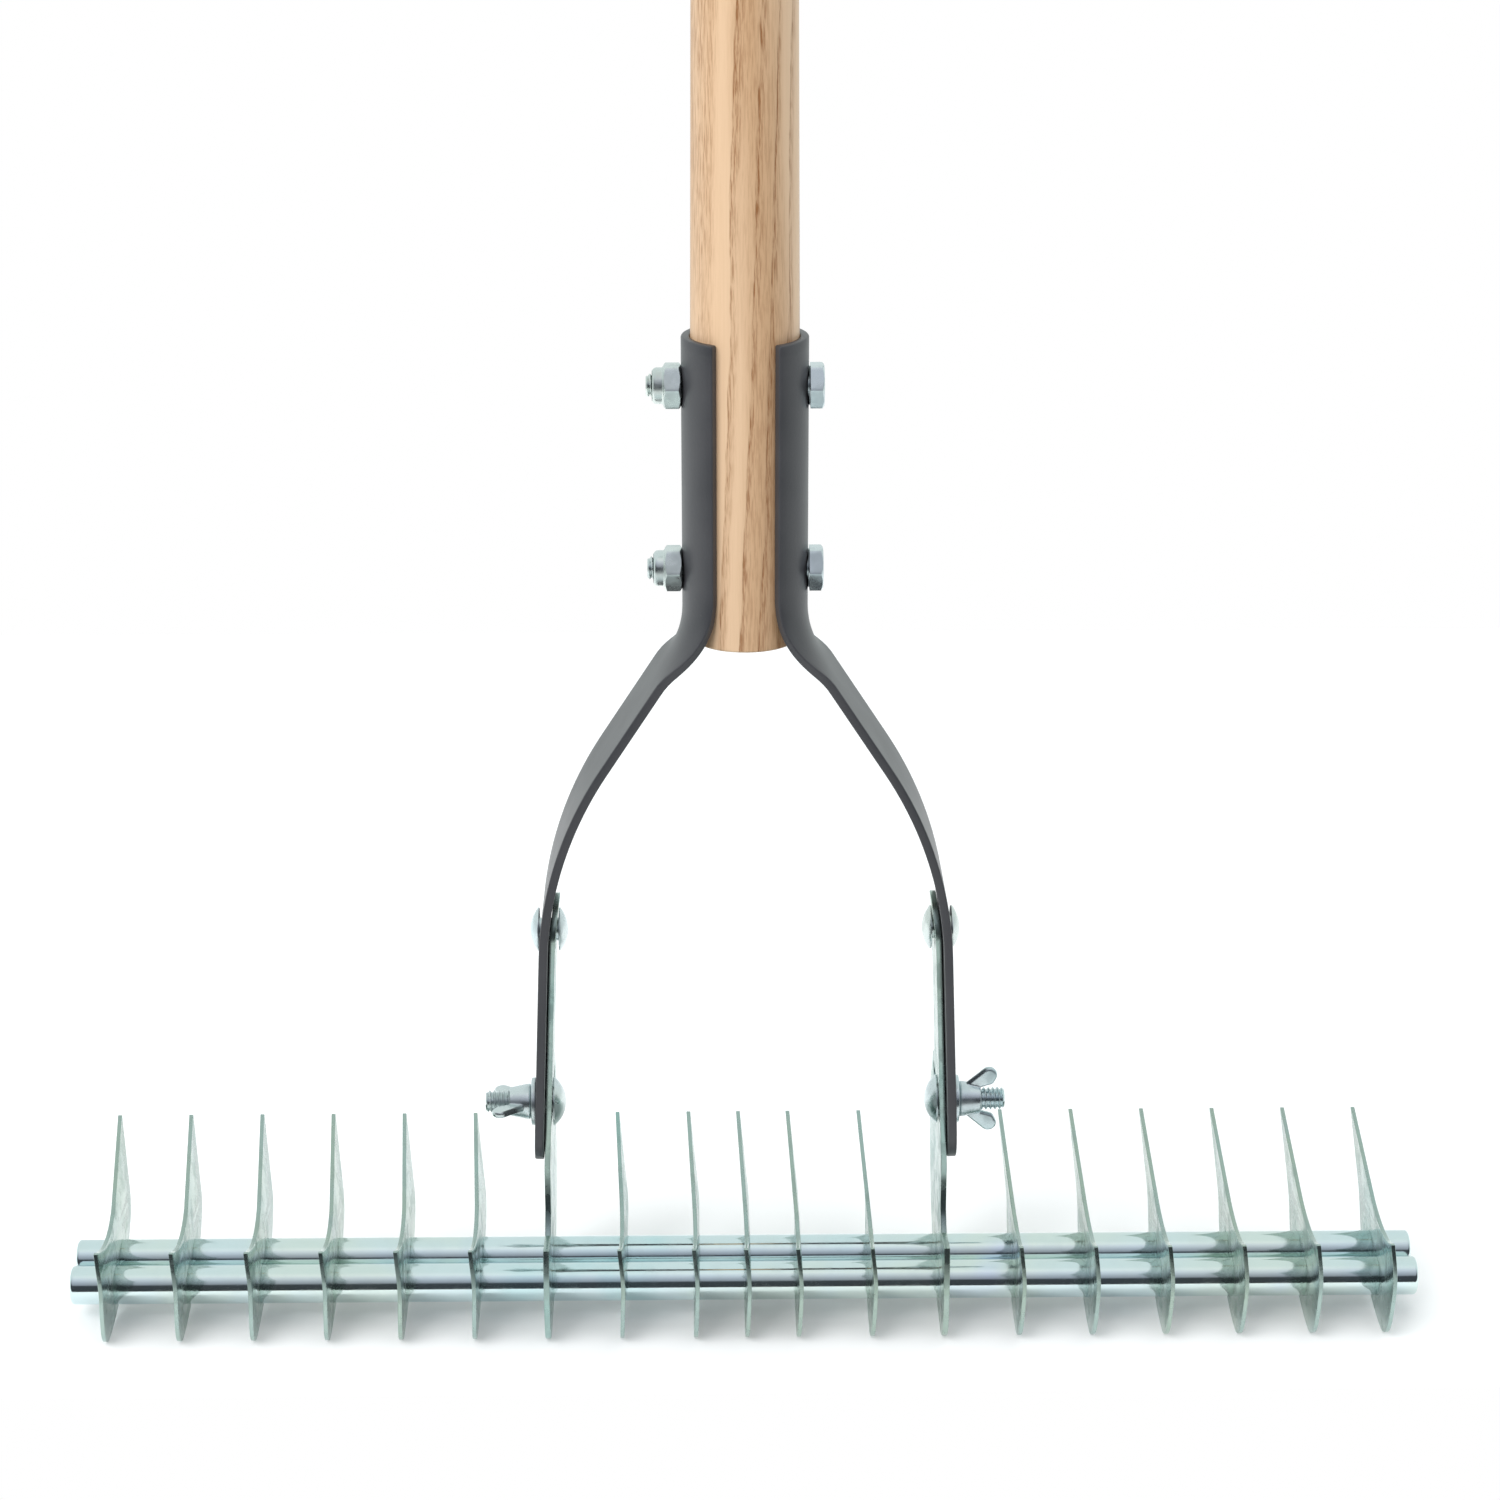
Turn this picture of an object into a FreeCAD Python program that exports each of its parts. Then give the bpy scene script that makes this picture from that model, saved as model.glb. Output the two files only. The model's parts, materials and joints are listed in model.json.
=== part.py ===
import FreeCAD, Part
import math
import os
import Sketcher
from FreeCAD import Placement, Rotation, Vector

# Lawn thatch rake: a head of thin upright blades on two round bars, hung by
# two adjuster plates in a steel fork at the bottom of a long ash handle.
#
# Frame: +X along the bars, +Z up the handle, -Y the front. The origin is under
# the middle of the head, at the height of the blades' lowest points.

DIMENSIONS = [
    # head
    ("bar_diameter", 11.0, "round bar that carries the blades"),
    ("bar_length", 381.0, "15 in working width"),
    ("bar_edge", 1.0, "rounding at each end of a bar"),
    ("front_bar_y", -10.25, "front bar, centre"),
    ("front_bar_z", 10.0, "front bar, centre"),
    ("bar_step_y", 12.2, "back bar, behind the front one"),
    ("bar_step_z", 2.0, "back bar, above the front one"),
    ("bar_play", 0.05, "radial play of a bar in a blade"),
    ("middle_pitch", 14.4, "middle blade to the blades beside it"),
    ("blade_pitch", 20.6, "spacing of all other blades"),
    ("blade_sheet", 1.15, "thickness of a plain blade"),
    ("plate_sheet", 1.6, "thickness of an adjuster plate"),
    # outline of a blade, seen from the +X side
    ("point_y", 28.3, "long point, at the back"),
    ("point_z", 44.6, "long point, height"),
    ("point_low_y", 28.95, "long point, below its rounding"),
    ("point_low_z", 44.15, "long point, below its rounding"),
    ("point_radius", 0.5, "rounding of the long point"),
    ("rear_y", 22.3, "back edge, below the long point"),
    ("rear_z", 24.75, "back edge, below the long point"),
    ("belly_y", 4.0, "bottom edge meets the rising back edge"),
    ("belly_z", 5.0, "bottom edge meets the rising back edge"),
    ("rear_radius", 30.4, "rounding from bottom edge to back edge"),
    ("belly_radius", 75.7, "bottom edge"),
    ("toe_y", -23.0, "short lower point, back side"),
    ("toe_z", 0.0, "short lower point, back side"),
    ("toe_radius", 8.93, "short lower point"),
    ("toe_front_y", -31.6, "short lower point, front side"),
    ("toe_front_z", 6.5, "short lower point, front side"),
    ("brow_y", -31.7, "front corner, top"),
    ("brow_z", 30.4, "front corner, top"),
    ("front_radius", 45.0, "front edge"),
    ("brow_back_y", -30.6, "front corner, behind its rounding"),
    ("brow_back_z", 30.4, "front corner, behind its rounding"),
    ("notch_y", -1.0, "top edge leaves its hollow"),
    ("notch_z", 29.2, "top edge leaves its hollow"),
    ("notch_radius", 38.0, "hollow in the top edge"),
    # a blade's slight bend, seen from the front
    ("blade_bend_x", 0.75, "bend, sideways of the blade's place"),
    ("blade_bend_z", 20.0, "bend, height"),
    ("blade_bend_radius", 60.0, "bend"),
    ("blade_lean_low", 2.0, "lean below the bend, degrees"),
    ("blade_lean_high", 6.0, "lean above the bend, the other way, degrees"),
    ("blade_top_z", 50.0, "a blade's sheet is laid out to this height"),
    # adjuster plate
    ("strap_half", 10.1, "half width of a plate's upright strap"),
    ("gusset_top_z", 74.2, "gusset meets the strap"),
    ("gusset_knee_y", 14.5, "knee of the gusset"),
    ("gusset_knee_z", 69.5, "knee of the gusset"),
    ("gusset_back_y", 33.25, "back of the gusset"),
    ("gusset_back_z", 51.5, "back of the gusset, top"),
    ("gusset_low_z", 42.5, "back of the gusset, bottom"),
    ("plate_rear_y", 31.2, "back edge, below the gusset"),
    ("plate_rear_z", 30.0, "back edge, below the gusset"),
    ("plate_rear_radius", 45.0, "rounding from bottom edge to back edge"),
    ("strap_root_z", 34.0, "front edge of the strap ends"),
    ("strap_foot_y", -18.5, "strap meets the blade's top edge"),
    ("strap_foot_z", 28.6, "strap meets the blade's top edge"),
    ("slot_radius", 51.9, "rivet to clamp bolt"),
    ("slot_front", 5.5, "slot, degrees to the front of the bolt"),
    ("slot_back", 15.9, "slot, degrees to the back of the bolt"),
    ("slot_half", 3.3, "half width of the slot"),
    ("plate_gap", 0.3, "play between plate and fork arm"),
    ("sheet_reach", 60.0, "half width of the sheets that blanks are trimmed with"),
    ("blank_sheet", 12.0, "thick blank that a blade or plate is trimmed from"),
    # fork
    ("arm_width", 31.75, "strap steel"),
    ("arm_sheet", 2.4, "strap steel"),
    ("socket_inside", 14.35, "inner radius of a half socket"),
    ("socket_top_z", 281.4, "upper rim of the sockets"),
    ("splay_angle", 33.0, "slope of the splayed stretch, degrees"),
    ("splay_radius", 28.0, "bend below the socket"),
    ("shoulder_radius", 105.0, "long bend back to upright"),
    ("shoulder_z", 112.0, "lower end of the long bend"),
    ("lean", 2.2, "lean of the lower ends, degrees"),
    ("arm_low_z", 47.0, "lower end of an arm"),
    ("arm_low_x", 56.5, "inner face of an arm at its lower end"),
    ("curl_lead", 4.0, "the curl starts to open above the bend"),
    ("curl_tail", 6.0, "and is flat this far below the bend"),
    # handle
    ("handle_y", -4.15, "handle axis, midway between the bars"),
    ("handle_low_z", 198.9, "lower end"),
    ("handle_length", 1372.0, "54 in"),
    ("handle_butt", 28.6, "diameter in the socket, 1-1/8 in"),
    ("handle_grip", 27.4, "diameter of the long upper part"),
    ("handle_taper", 90.0, "length of the taper above the socket"),
    ("handle_chamfer", 0.8, "lower edge"),
    ("handle_crown", 9.0, "rounding of the upper end"),
    # quarter-inch fasteners
    ("bolt_diameter", 6.35, "1/4 in"),
    ("thread_pitch", 1.27, "20 threads per inch"),
    ("thread_depth", 0.65, "depth of a thread"),
    ("hole_play", 0.1, "radial play of a bolt in its hole"),
    ("hex_flats", 11.1, "7/16 in across flats"),
    ("hex_head", 4.0, "height of a bolt head"),
    ("hex_bevel", 0.7, "corner bevel of heads and nuts"),
    ("upper_bolt_z", 267.9, "upper socket bolt"),
    ("lower_bolt_z", 218.3, "lower socket bolt"),
    ("nut_hex", 4.6, "height of a lock nut's hexagon"),
    ("nut_collar", 3.0, "height of a lock nut's collar"),
    ("nut_collar_diameter", 9.6, "collar of a lock nut"),
    ("collar_round", 1.2, "rounding of the collar"),
    ("collar_lip", 0.6, "metal turned in over the nylon ring"),
    ("insert_height", 2.2, "nylon ring"),
    ("insert_outside", 8.2, "nylon ring, outer diameter"),
    ("insert_play", 0.02, "radial play of a bolt in its nylon ring"),
    ("bolt_proud", 1.6, "bolt end beyond a lock nut"),
    ("bolt_tip", 0.8, "chamfer of a bolt end"),
    # pivot rivets
    ("rivet_z", 115.1, "tilt axis"),
    ("rivet_diameter", 6.3, "shank"),
    ("rivet_head", 12.0, "head diameter"),
    ("rivet_rise", 2.5, "head height"),
    ("rivet_rim", 0.5, "upright rim under the dome"),
    ("rivet_seat", 0.4, "outer rivet head to the sloping arm, at the axis"),
    ("rivet_stand", 0.7, "inner rivet head to the bent plate, at the axis"),
    ("pivot_play", 0.05, "radial play of the pivot"),
    # clamp bolts with wing nuts
    ("dome_diameter", 13.5, "carriage bolt head"),
    ("dome_rise", 3.5, "carriage bolt head"),
    ("neck_length", 2.2, "square neck, in the plate's slot"),
    ("clamp_end_x", 72.6, "outer end of the clamp bolts"),
    ("clamp_thread", 12.4, "threaded length"),
    ("washer_outside", 13.4, "flat washer"),
    ("washer_inside", 7.0, "flat washer"),
    ("washer_sheet", 1.2, "flat washer"),
    ("seat_gap", 0.3, "head or washer to the leaning strap, at the axis"),
    ("washer_play", 0.05, "washer to wing nut"),
    ("wing_hub", 8.6, "outer end of the wing nut's hub"),
    ("wing_flange", 10.4, "base of the wing nut"),
    ("wing_flange_height", 1.6, "base of the wing nut"),
    ("wing_hub_length", 5.6, "wing nut, along the bolt"),
    ("wing_reach", 10.4, "wing tip from the bolt's axis"),
    ("wing_length", 11.0, "wing tip from the base"),
    ("wing_edge", 0.4, "bevel of the hub's outer end"),
    ("wing_root", 3.9, "wing meets the flange, from the axis"),
    ("wing_knee", 5.0, "wing's outer edge leaves the hub, from the axis"),
    ("wing_knee_rise", 1.4, "and this far above the flange"),
    ("wing_tip_radius", 3.0, "rounding of a wing"),
    ("wing_sheet", 1.9, "thickness of a wing"),
]

NARROW_TINES = 8          # plain blades on each side of the middle one
PLATE_STEP = 2            # which blade, counted from the middle gap, is a plate
CURL_SECTIONS = 9         # sections that open a socket out into flat strap
CURL_POINTS = 9           # points across each of those sections
LOCK_TURNS = 9            # thread grooves at the end of a socket bolt
CUT_PLAY = 0.05           # how far a cut starts outside the metal
FLANK_SHARE = 0.44        # half the mouth of a thread groove, in pitches
BEVEL_START = 0.97        # where a bevel starts on a hexagon's end, in half flats
BEVEL_REACH = 1.3         # beyond a hexagon's corners, in half flats
TIP_OUTSIDE = 1.55, 0.0   # where a wing's rounding starts: from its end and
TIP_END = 0.85            # reach, where it touches the end, and where it stops,
TIP_INSIDE = 1.1, 2.0     # all in roundings


class Size:
    """A dimension: its value, and the expression that binds a feature to it."""

    def __init__(self, value, text):
        self.value = value
        self.text = text

    def joined(self, sign, other, value):
        text = other.text if isinstance(other, Size) else repr(other)
        return Size(value, f"({self.text} {sign} {text})")

    def __add__(self, other):
        return self.joined("+", other, self.value + number(other))

    def __sub__(self, other):
        return self.joined("-", other, self.value - number(other))

    def __mul__(self, other):
        return self.joined("*", other, self.value * number(other))

    def __truediv__(self, other):
        return self.joined("/", other, self.value / number(other))

    def __neg__(self):
        return Size(-self.value, f"(-1 * {self.text})")


def number(item):
    return item.value if isinstance(item, Size) else item


doc = FreeCAD.newDocument("ThatchRake")
sheet = doc.addObject("Spreadsheet::Sheet", "Dimensions")
for row, (alias, amount, note) in enumerate(DIMENSIONS, start=1):
    sheet.set(f"A{row}", note)
    sheet.set(f"B{row}", str(amount))
    sheet.setAlias(f"B{row}", alias)
doc.recompute()

D = {alias: Size(sheet.get(alias), f"Dimensions.{alias}") for alias, _, _ in DIMENSIONS}
ZERO = Size(0.0, "0")
finished = []             # every sub-part, in the order it is made


# ---------------------------------------------------------------- helpers

def new_body(label, keep=True):
    body = doc.addObject("PartDesign::Body", label)
    body.Label = label
    if keep:
        finished.append(body)
    return body


def place(body, x, y, z, turn=0.0, axis=Vector(0, 0, 1)):
    """Put a body at a bound position, turned about one axis."""
    body.Placement = Placement(Vector(number(x), number(y), number(z)), Rotation(axis, turn))
    for letter, item in zip("xyz", (x, y, z)):
        if isinstance(item, Size) and item is not ZERO:
            body.setExpression(f".Placement.Base.{letter}", item.text)


def new_sketch(body, name, role):
    sketch = body.newObject("Sketcher::SketchObject", name)
    plane = next(item for item in body.Origin.OriginFeatures if item.Role == role)
    sketch.AttachmentSupport = [(plane, "")]
    sketch.MapMode = "FlatFace"
    return sketch


def bind(sketch, constraint, size):
    index = sketch.addConstraint(constraint)
    sketch.setExpression(f"Constraints[{index}]", size.text)


def corner_point(corner):
    return Vector(number(corner[0]), number(corner[1]), 0)


def arc_side(start, end, radius):
    """A short arc from start to end. A positive radius bulges to the right."""
    middle = (start + end) / 2
    along = (end - start).normalize()
    left = Vector(-along.y, along.x, 0)
    rise = math.sqrt(radius ** 2 - start.distanceToPoint(middle) ** 2)
    centre = middle + left * math.copysign(rise, radius)
    first, last = (start, end) if radius > 0 else (end, start)
    angles = [math.atan2(tip.y - centre.y, tip.x - centre.x) for tip in (first, last)]
    if angles[1] < angles[0]:
        angles[1] += 2 * math.pi
    circle = Part.Circle(centre, Vector(0, 0, 1), abs(radius))
    return Part.ArcOfCircle(circle, *angles)


def outline(sketch, corners, arcs=None):
    """Draw a closed outline. arcs maps a corner's number to the signed radius
    of the side that leaves it; other sides are straight."""
    arcs = arcs or {}
    sides = []
    for index, corner in enumerate(corners):
        start = corner_point(corner)
        end = corner_point(corners[(index + 1) % len(corners)])
        radius = arcs.get(index)
        shape = arc_side(start, end, radius.value) if radius else Part.LineSegment(start, end)
        side = sketch.addGeometry(shape, False)
        backwards = radius is not None and radius.value < 0
        sides.append((side, 2, 1) if backwards else (side, 1, 2))
        if radius:
            bind(sketch, Sketcher.Constraint("Radius", side, abs(radius.value)),
                 radius if radius.value > 0 else -radius)
    for index, (side, start, end) in enumerate(sides):
        follower, follower_start, _ = sides[(index + 1) % len(sides)]
        sketch.addConstraint(Sketcher.Constraint("Coincident", side, end, follower, follower_start))
        for kind, item in zip(("DistanceX", "DistanceY"), corners[index]):
            bind(sketch, Sketcher.Constraint(kind, side, start, number(item)), item)


def circle(sketch, x, y, radius):
    side = sketch.addGeometry(Part.Circle(Vector(x.value, y.value, 0), Vector(0, 0, 1), radius.value), False)
    bind(sketch, Sketcher.Constraint("Radius", side, radius.value), radius)
    bind(sketch, Sketcher.Constraint("DistanceX", side, 3, x.value), x)
    bind(sketch, Sketcher.Constraint("DistanceY", side, 3, y.value), y)


def pad(body, sketch, length, symmetric=False, reverse=False):
    feature = body.newObject("PartDesign::Pad", sketch.Name + "Pad")
    feature.Profile = sketch
    feature.setExpression("Length", length.text)
    feature.Midplane = symmetric
    feature.Reversed = reverse
    sketch.Visibility = False
    return feature


def pocket(body, sketch):
    """Cut a sketch right through, both ways."""
    doc.recompute()
    before = body.Shape.Volume
    feature = body.newObject("PartDesign::Pocket", sketch.Name + "Pocket")
    feature.Profile = sketch
    feature.Type = "ThroughAll"
    feature.Midplane = True
    doc.recompute()
    if body.Shape.Volume > before - 1e-3:
        raise RuntimeError(f"{body.Label}: pocket cut nothing")
    return feature


def spin(body, sketch, kind="PartDesign::Revolution"):
    """Turn a sketch about its horizontal axis, as metal or as a cut."""
    doc.recompute()
    before = body.Shape.Volume if kind.endswith("Groove") else None
    feature = body.newObject(kind, sketch.Name + "Turn")
    feature.Profile = sketch
    feature.ReferenceAxis = (sketch, ["H_Axis"])
    feature.Angle = 360.0
    doc.recompute()
    if before is not None and body.Shape.Volume > before - 1e-3:
        raise RuntimeError(f"{body.Label}: groove cut nothing")
    return feature


def round_edges(body, size, wanted, kind="PartDesign::Fillet"):
    """Fillet or chamfer the edges of the body's tip that the test picks."""
    doc.recompute()
    tip = body.Tip
    names = [f"Edge{n}" for n, edge in enumerate(tip.Shape.Edges, start=1) if wanted(edge)]
    feature = body.newObject(kind, "Edges")
    feature.Base = (tip, names)
    feature.setExpression("Radius" if kind.endswith("Fillet") else "Size", size.text)
    return feature


def is_ring_at(axis, place_of_ring):
    """A test for full circular edges in the plane axis = place."""
    def wanted(edge):
        box = edge.BoundBox
        low = getattr(box, axis + "Min")
        high = getattr(box, axis + "Max")
        return high - low < 1e-4 and abs(low - place_of_ring) < 1e-3 and edge.isClosed()
    return wanted


# ---------------------------------------------------------------- head

def add_bar(label, y, z):
    body = new_body(label)
    section = new_sketch(body, label + "_section", "YZ_Plane")
    circle(section, ZERO, ZERO, D["bar_diameter"] / 2)
    pad(body, section, D["bar_length"], symmetric=True)
    half = D["bar_length"].value / 2
    left, right = is_ring_at("X", -half), is_ring_at("X", half)
    round_edges(body, D["bar_edge"], lambda edge: left(edge) or right(edge))
    place(body, ZERO, y, z)


def named(*names):
    """Corners of an outline, from the cells NAME_y and NAME_z."""
    return [(D[name + "_y"], D[name + "_z"]) for name in names]


def bar_holes(body, label):
    holes = new_sketch(body, label + "_holes", "YZ_Plane")
    radius = D["bar_diameter"] / 2 + D["bar_play"]
    circle(holes, D["front_bar_y"], D["front_bar_z"], radius)
    circle(holes, D["front_bar_y"] + D["bar_step_y"], D["front_bar_z"] + D["bar_step_z"], radius)
    pocket(body, holes)


def around(centre, radius, angle):
    return centre + Vector(math.cos(angle), 0, math.sin(angle)) * radius


def blade_line(offset):
    """One side of a blade's bent sheet: (x, z) edges from below the toe upwards.
    offset is measured to the right of the sheet's middle."""
    low, high = (math.radians(D[name].value) for name in ("blade_lean_low", "blade_lean_high"))
    crown = Vector(D["blade_bend_x"].value, 0, D["blade_bend_z"].value)
    radius = D["blade_bend_radius"].value
    centre = around(crown, -radius, (high - low) / 2)
    ends = [around(centre, radius + offset, angle) for angle in (-low, (high - low) / 2, high)]
    rise = D["blade_top_z"].value - ends[2].z
    return [
        Part.LineSegment(ends[0] - Vector(math.tan(low), 0, 1) * D["blade_bend_z"].value, ends[0]).toShape(),
        Part.Arc(*ends).toShape(),
        Part.LineSegment(ends[2], ends[2] + Vector(-math.tan(high), 0, 1) * rise).toShape(),
    ]


def strip(inner, outer, half_width):
    """Sheet steel between two side-view lines, centred on the handle's axis."""
    inner_ends = inner[0].Vertexes[0].Point, inner[-1].Vertexes[1].Point
    outer_ends = outer[0].Vertexes[0].Point, outer[-1].Vertexes[1].Point
    low = Part.LineSegment(inner_ends[0], outer_ends[0]).toShape()
    high = Part.LineSegment(inner_ends[1], outer_ends[1]).toShape()
    face = Part.Face(Part.Wire(Part.__sortEdges__(inner + outer + [low, high])))
    middle = Vector(0, D["handle_y"].value - half_width, 0)
    return face.translated(middle).extrude(Vector(0, 2 * half_width, 0))


def trim(label, blank, shape):
    """Cut a thick flat blank down to the bent sheet given as a shape."""
    layer = doc.addObject("Part::Feature", label + "_sheet")
    layer.Shape = shape
    piece = doc.addObject("Part::Common", label)
    piece.Label = label
    piece.Base = blank
    piece.Tool = layer
    finished.append(piece)


def add_tine(label, x):
    blank = new_body(label + "_blank", keep=False)
    profile = new_sketch(blank, label + "_outline", "YZ_Plane")
    corners = named("point", "notch", "brow_back", "brow", "toe_front", "toe", "belly", "rear", "point_low")
    arcs = {
        1: -D["notch_radius"],
        3: D["front_radius"],
        4: D["toe_radius"],
        5: D["belly_radius"],
        6: D["rear_radius"],
        8: D["point_radius"],
    }
    outline(profile, corners, arcs)
    pad(blank, profile, D["blank_sheet"], symmetric=True)
    bar_holes(blank, label)
    place(blank, x, ZERO, ZERO)
    half = D["blade_sheet"].value / 2
    shape = strip(blade_line(-half), blade_line(half), D["sheet_reach"].value)
    trim(label, blank, shape.translated(Vector(number(x), 0, 0)))


def add_tines():
    """The middle blade, and the plain ones on each side of it."""
    reach = [D["middle_pitch"] + D["blade_pitch"] * step
             for step in range(NARROW_TINES + 1) if step != PLATE_STEP]
    places = [-x for x in reversed(reach)] + [ZERO] + reach
    for count, x in enumerate(places, start=1):
        add_tine(f"tine_{count:02d}", x)


def arm_line(offset, top_z):
    """The fork arm's side view: (x, z) edges from its lower end up to top_z.
    offset is measured outwards from the arm's inner face."""
    lean = math.radians(D["lean"].value)
    splay = math.radians(D["splay_angle"].value)
    shoulder = D["shoulder_radius"].value
    bend = D["splay_radius"].value

    outward = Vector(math.cos(lean), 0, math.sin(lean))
    upright = Vector(-math.sin(lean), 0, math.cos(lean))
    foot = Vector(D["arm_low_x"].value, 0, D["arm_low_z"].value)
    rise = (D["shoulder_z"].value - foot.z) / math.cos(lean)
    shoulder_centre = foot + upright * rise - outward * shoulder
    slope_low = around(shoulder_centre, shoulder, splay)
    bend_x = D["socket_inside"].value + bend
    slope_high_x = bend_x - bend * math.cos(splay)
    slope_rise = (slope_low.x - slope_high_x) / math.tan(splay)
    bend_centre = Vector(bend_x, 0, slope_low.z + slope_rise + bend * math.sin(splay))

    low = foot + outward * offset
    shoulder_ends = [around(shoulder_centre, shoulder + offset, angle)
                     for angle in (lean, (lean + splay) / 2, splay)]
    bend_ends = [around(bend_centre, bend - offset, math.pi + angle) for angle in (splay, splay / 2, 0)]
    return [
        Part.LineSegment(low, shoulder_ends[0]).toShape(),
        Part.Arc(*shoulder_ends).toShape(),
        Part.LineSegment(shoulder_ends[2], bend_ends[0]).toShape(),
        Part.Arc(*bend_ends).toShape(),
        Part.LineSegment(bend_ends[2], Vector(bend_ends[2].x, 0, top_z)).toShape(),
    ]


def plate_corners():
    """An adjuster plate: the blade's lower half, a gusset, and a strap."""
    strap_front = D["handle_y"] - D["strap_half"]
    strap_back = D["handle_y"] + D["strap_half"]
    return named("brow_back", "brow", "toe_front", "toe", "belly", "plate_rear") + [
        (D["gusset_back_y"], D["gusset_low_z"]),
        (D["gusset_back_y"], D["gusset_back_z"]),
        (D["gusset_knee_y"], D["gusset_knee_z"]),
        (strap_back, D["gusset_top_z"]),
        (strap_back, D["rivet_z"]),
        (D["handle_y"], D["rivet_z"] + D["strap_half"]),
        (strap_front, D["rivet_z"]),
        (strap_front, D["strap_root_z"]),
        (D["strap_foot_y"], D["strap_foot_z"]),
    ]


def trig(kind, angle):
    """Sine or cosine of a Size in degrees."""
    return Size(getattr(math, kind)(math.radians(angle.value)), f"{kind}({angle.text})")


def slot_point(radius, angle):
    """A point at a radius from the rivet, angle degrees behind straight down."""
    return (D["handle_y"] + trig("sin", angle) * radius, D["rivet_z"] - trig("cos", angle) * radius)


def cut_slot(body, label):
    """The curved slot that the clamp bolt runs in, with round ends."""
    outer = D["slot_radius"] + D["slot_half"]
    inner = D["slot_radius"] - D["slot_half"]
    front, back = -D["slot_front"], D["slot_back"]
    run = new_sketch(body, label + "_slot", "YZ_Plane")
    corners = [slot_point(outer, front), slot_point(outer, back),
               slot_point(inner, back), slot_point(inner, front)]
    outline(run, corners, {0: outer, 2: -inner})
    pocket(body, run)
    ends = new_sketch(body, label + "_slot_ends", "YZ_Plane")
    for angle in (front, back):
        circle(ends, *slot_point(D["slot_radius"], angle), D["slot_half"])
    pocket(body, ends)


def add_plate(label, side):
    """The flat blank, trimmed to a sheet that leans with the fork arm."""
    blank = new_body(label + "_blank", keep=False)
    profile = new_sketch(blank, label + "_outline", "YZ_Plane")
    arcs = {
        1: D["front_radius"],
        2: D["toe_radius"],
        3: D["belly_radius"],
        4: D["plate_rear_radius"],
        10: D["strap_half"],
        11: D["strap_half"],
    }
    outline(profile, plate_corners(), arcs)
    pad(blank, profile, D["blank_sheet"], symmetric=True)
    bar_holes(blank, label)
    pivot = new_sketch(blank, label + "_pivot", "YZ_Plane")
    circle(pivot, D["handle_y"], D["rivet_z"], D["rivet_diameter"] / 2 + D["pivot_play"])
    pocket(blank, pivot)
    cut_slot(blank, label)
    place(blank, D["arm_low_x"] * side, ZERO, ZERO)

    top_z = D["socket_top_z"].value
    offsets = (-D["plate_gap"].value - D["plate_sheet"].value, -D["plate_gap"].value)
    lines = []
    for offset in offsets:
        line = arm_line(offset, top_z)
        low = line[0].Vertexes[0].Point
        root = Vector(low.x, 0, -D["blank_sheet"].value)
        lines.append([Part.LineSegment(root, low).toShape()] + line)
    shape = strip(*lines, D["sheet_reach"].value)
    trim(label, blank, shape if side > 0 else shape.mirror(Vector(0, 0, 0), Vector(1, 0, 0)))


# ---------------------------------------------------------------- fork

def curl_section(centre, inward, bend):
    """Closed section of the strap, curled towards the handle by `bend` (1/mm).
    centre is on its middle line, and inward points at the handle's axis."""
    half_width = D["arm_width"].value / 2
    half_sheet = D["arm_sheet"].value / 2
    sideways = Vector(0, 1, 0)

    def point(along, offset):
        if bend < 1e-6:
            return centre + sideways * along + inward * offset
        angle = along * bend
        radius = 1 / bend - offset
        return centre + sideways * (radius * math.sin(angle)) + inward * (1 / bend - radius * math.cos(angle))

    steps = [half_width * (2 * k / (CURL_POINTS - 1) - 1) for k in range(CURL_POINTS)]
    outside = [point(step, -half_sheet) for step in steps]
    inside = [point(step, half_sheet) for step in reversed(steps)]
    edges = []
    for points, follower in ((outside, inside), (inside, outside)):
        curve = Part.BSplineCurve()
        curve.interpolate(points)
        edges.append(curve.toShape())
        edges.append(Part.LineSegment(points[-1], follower[0]).toShape())
    return Part.Wire(edges)


def smooth(share):
    """From 0 to 1 with level ends."""
    return share * share * (3 - 2 * share)


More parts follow.
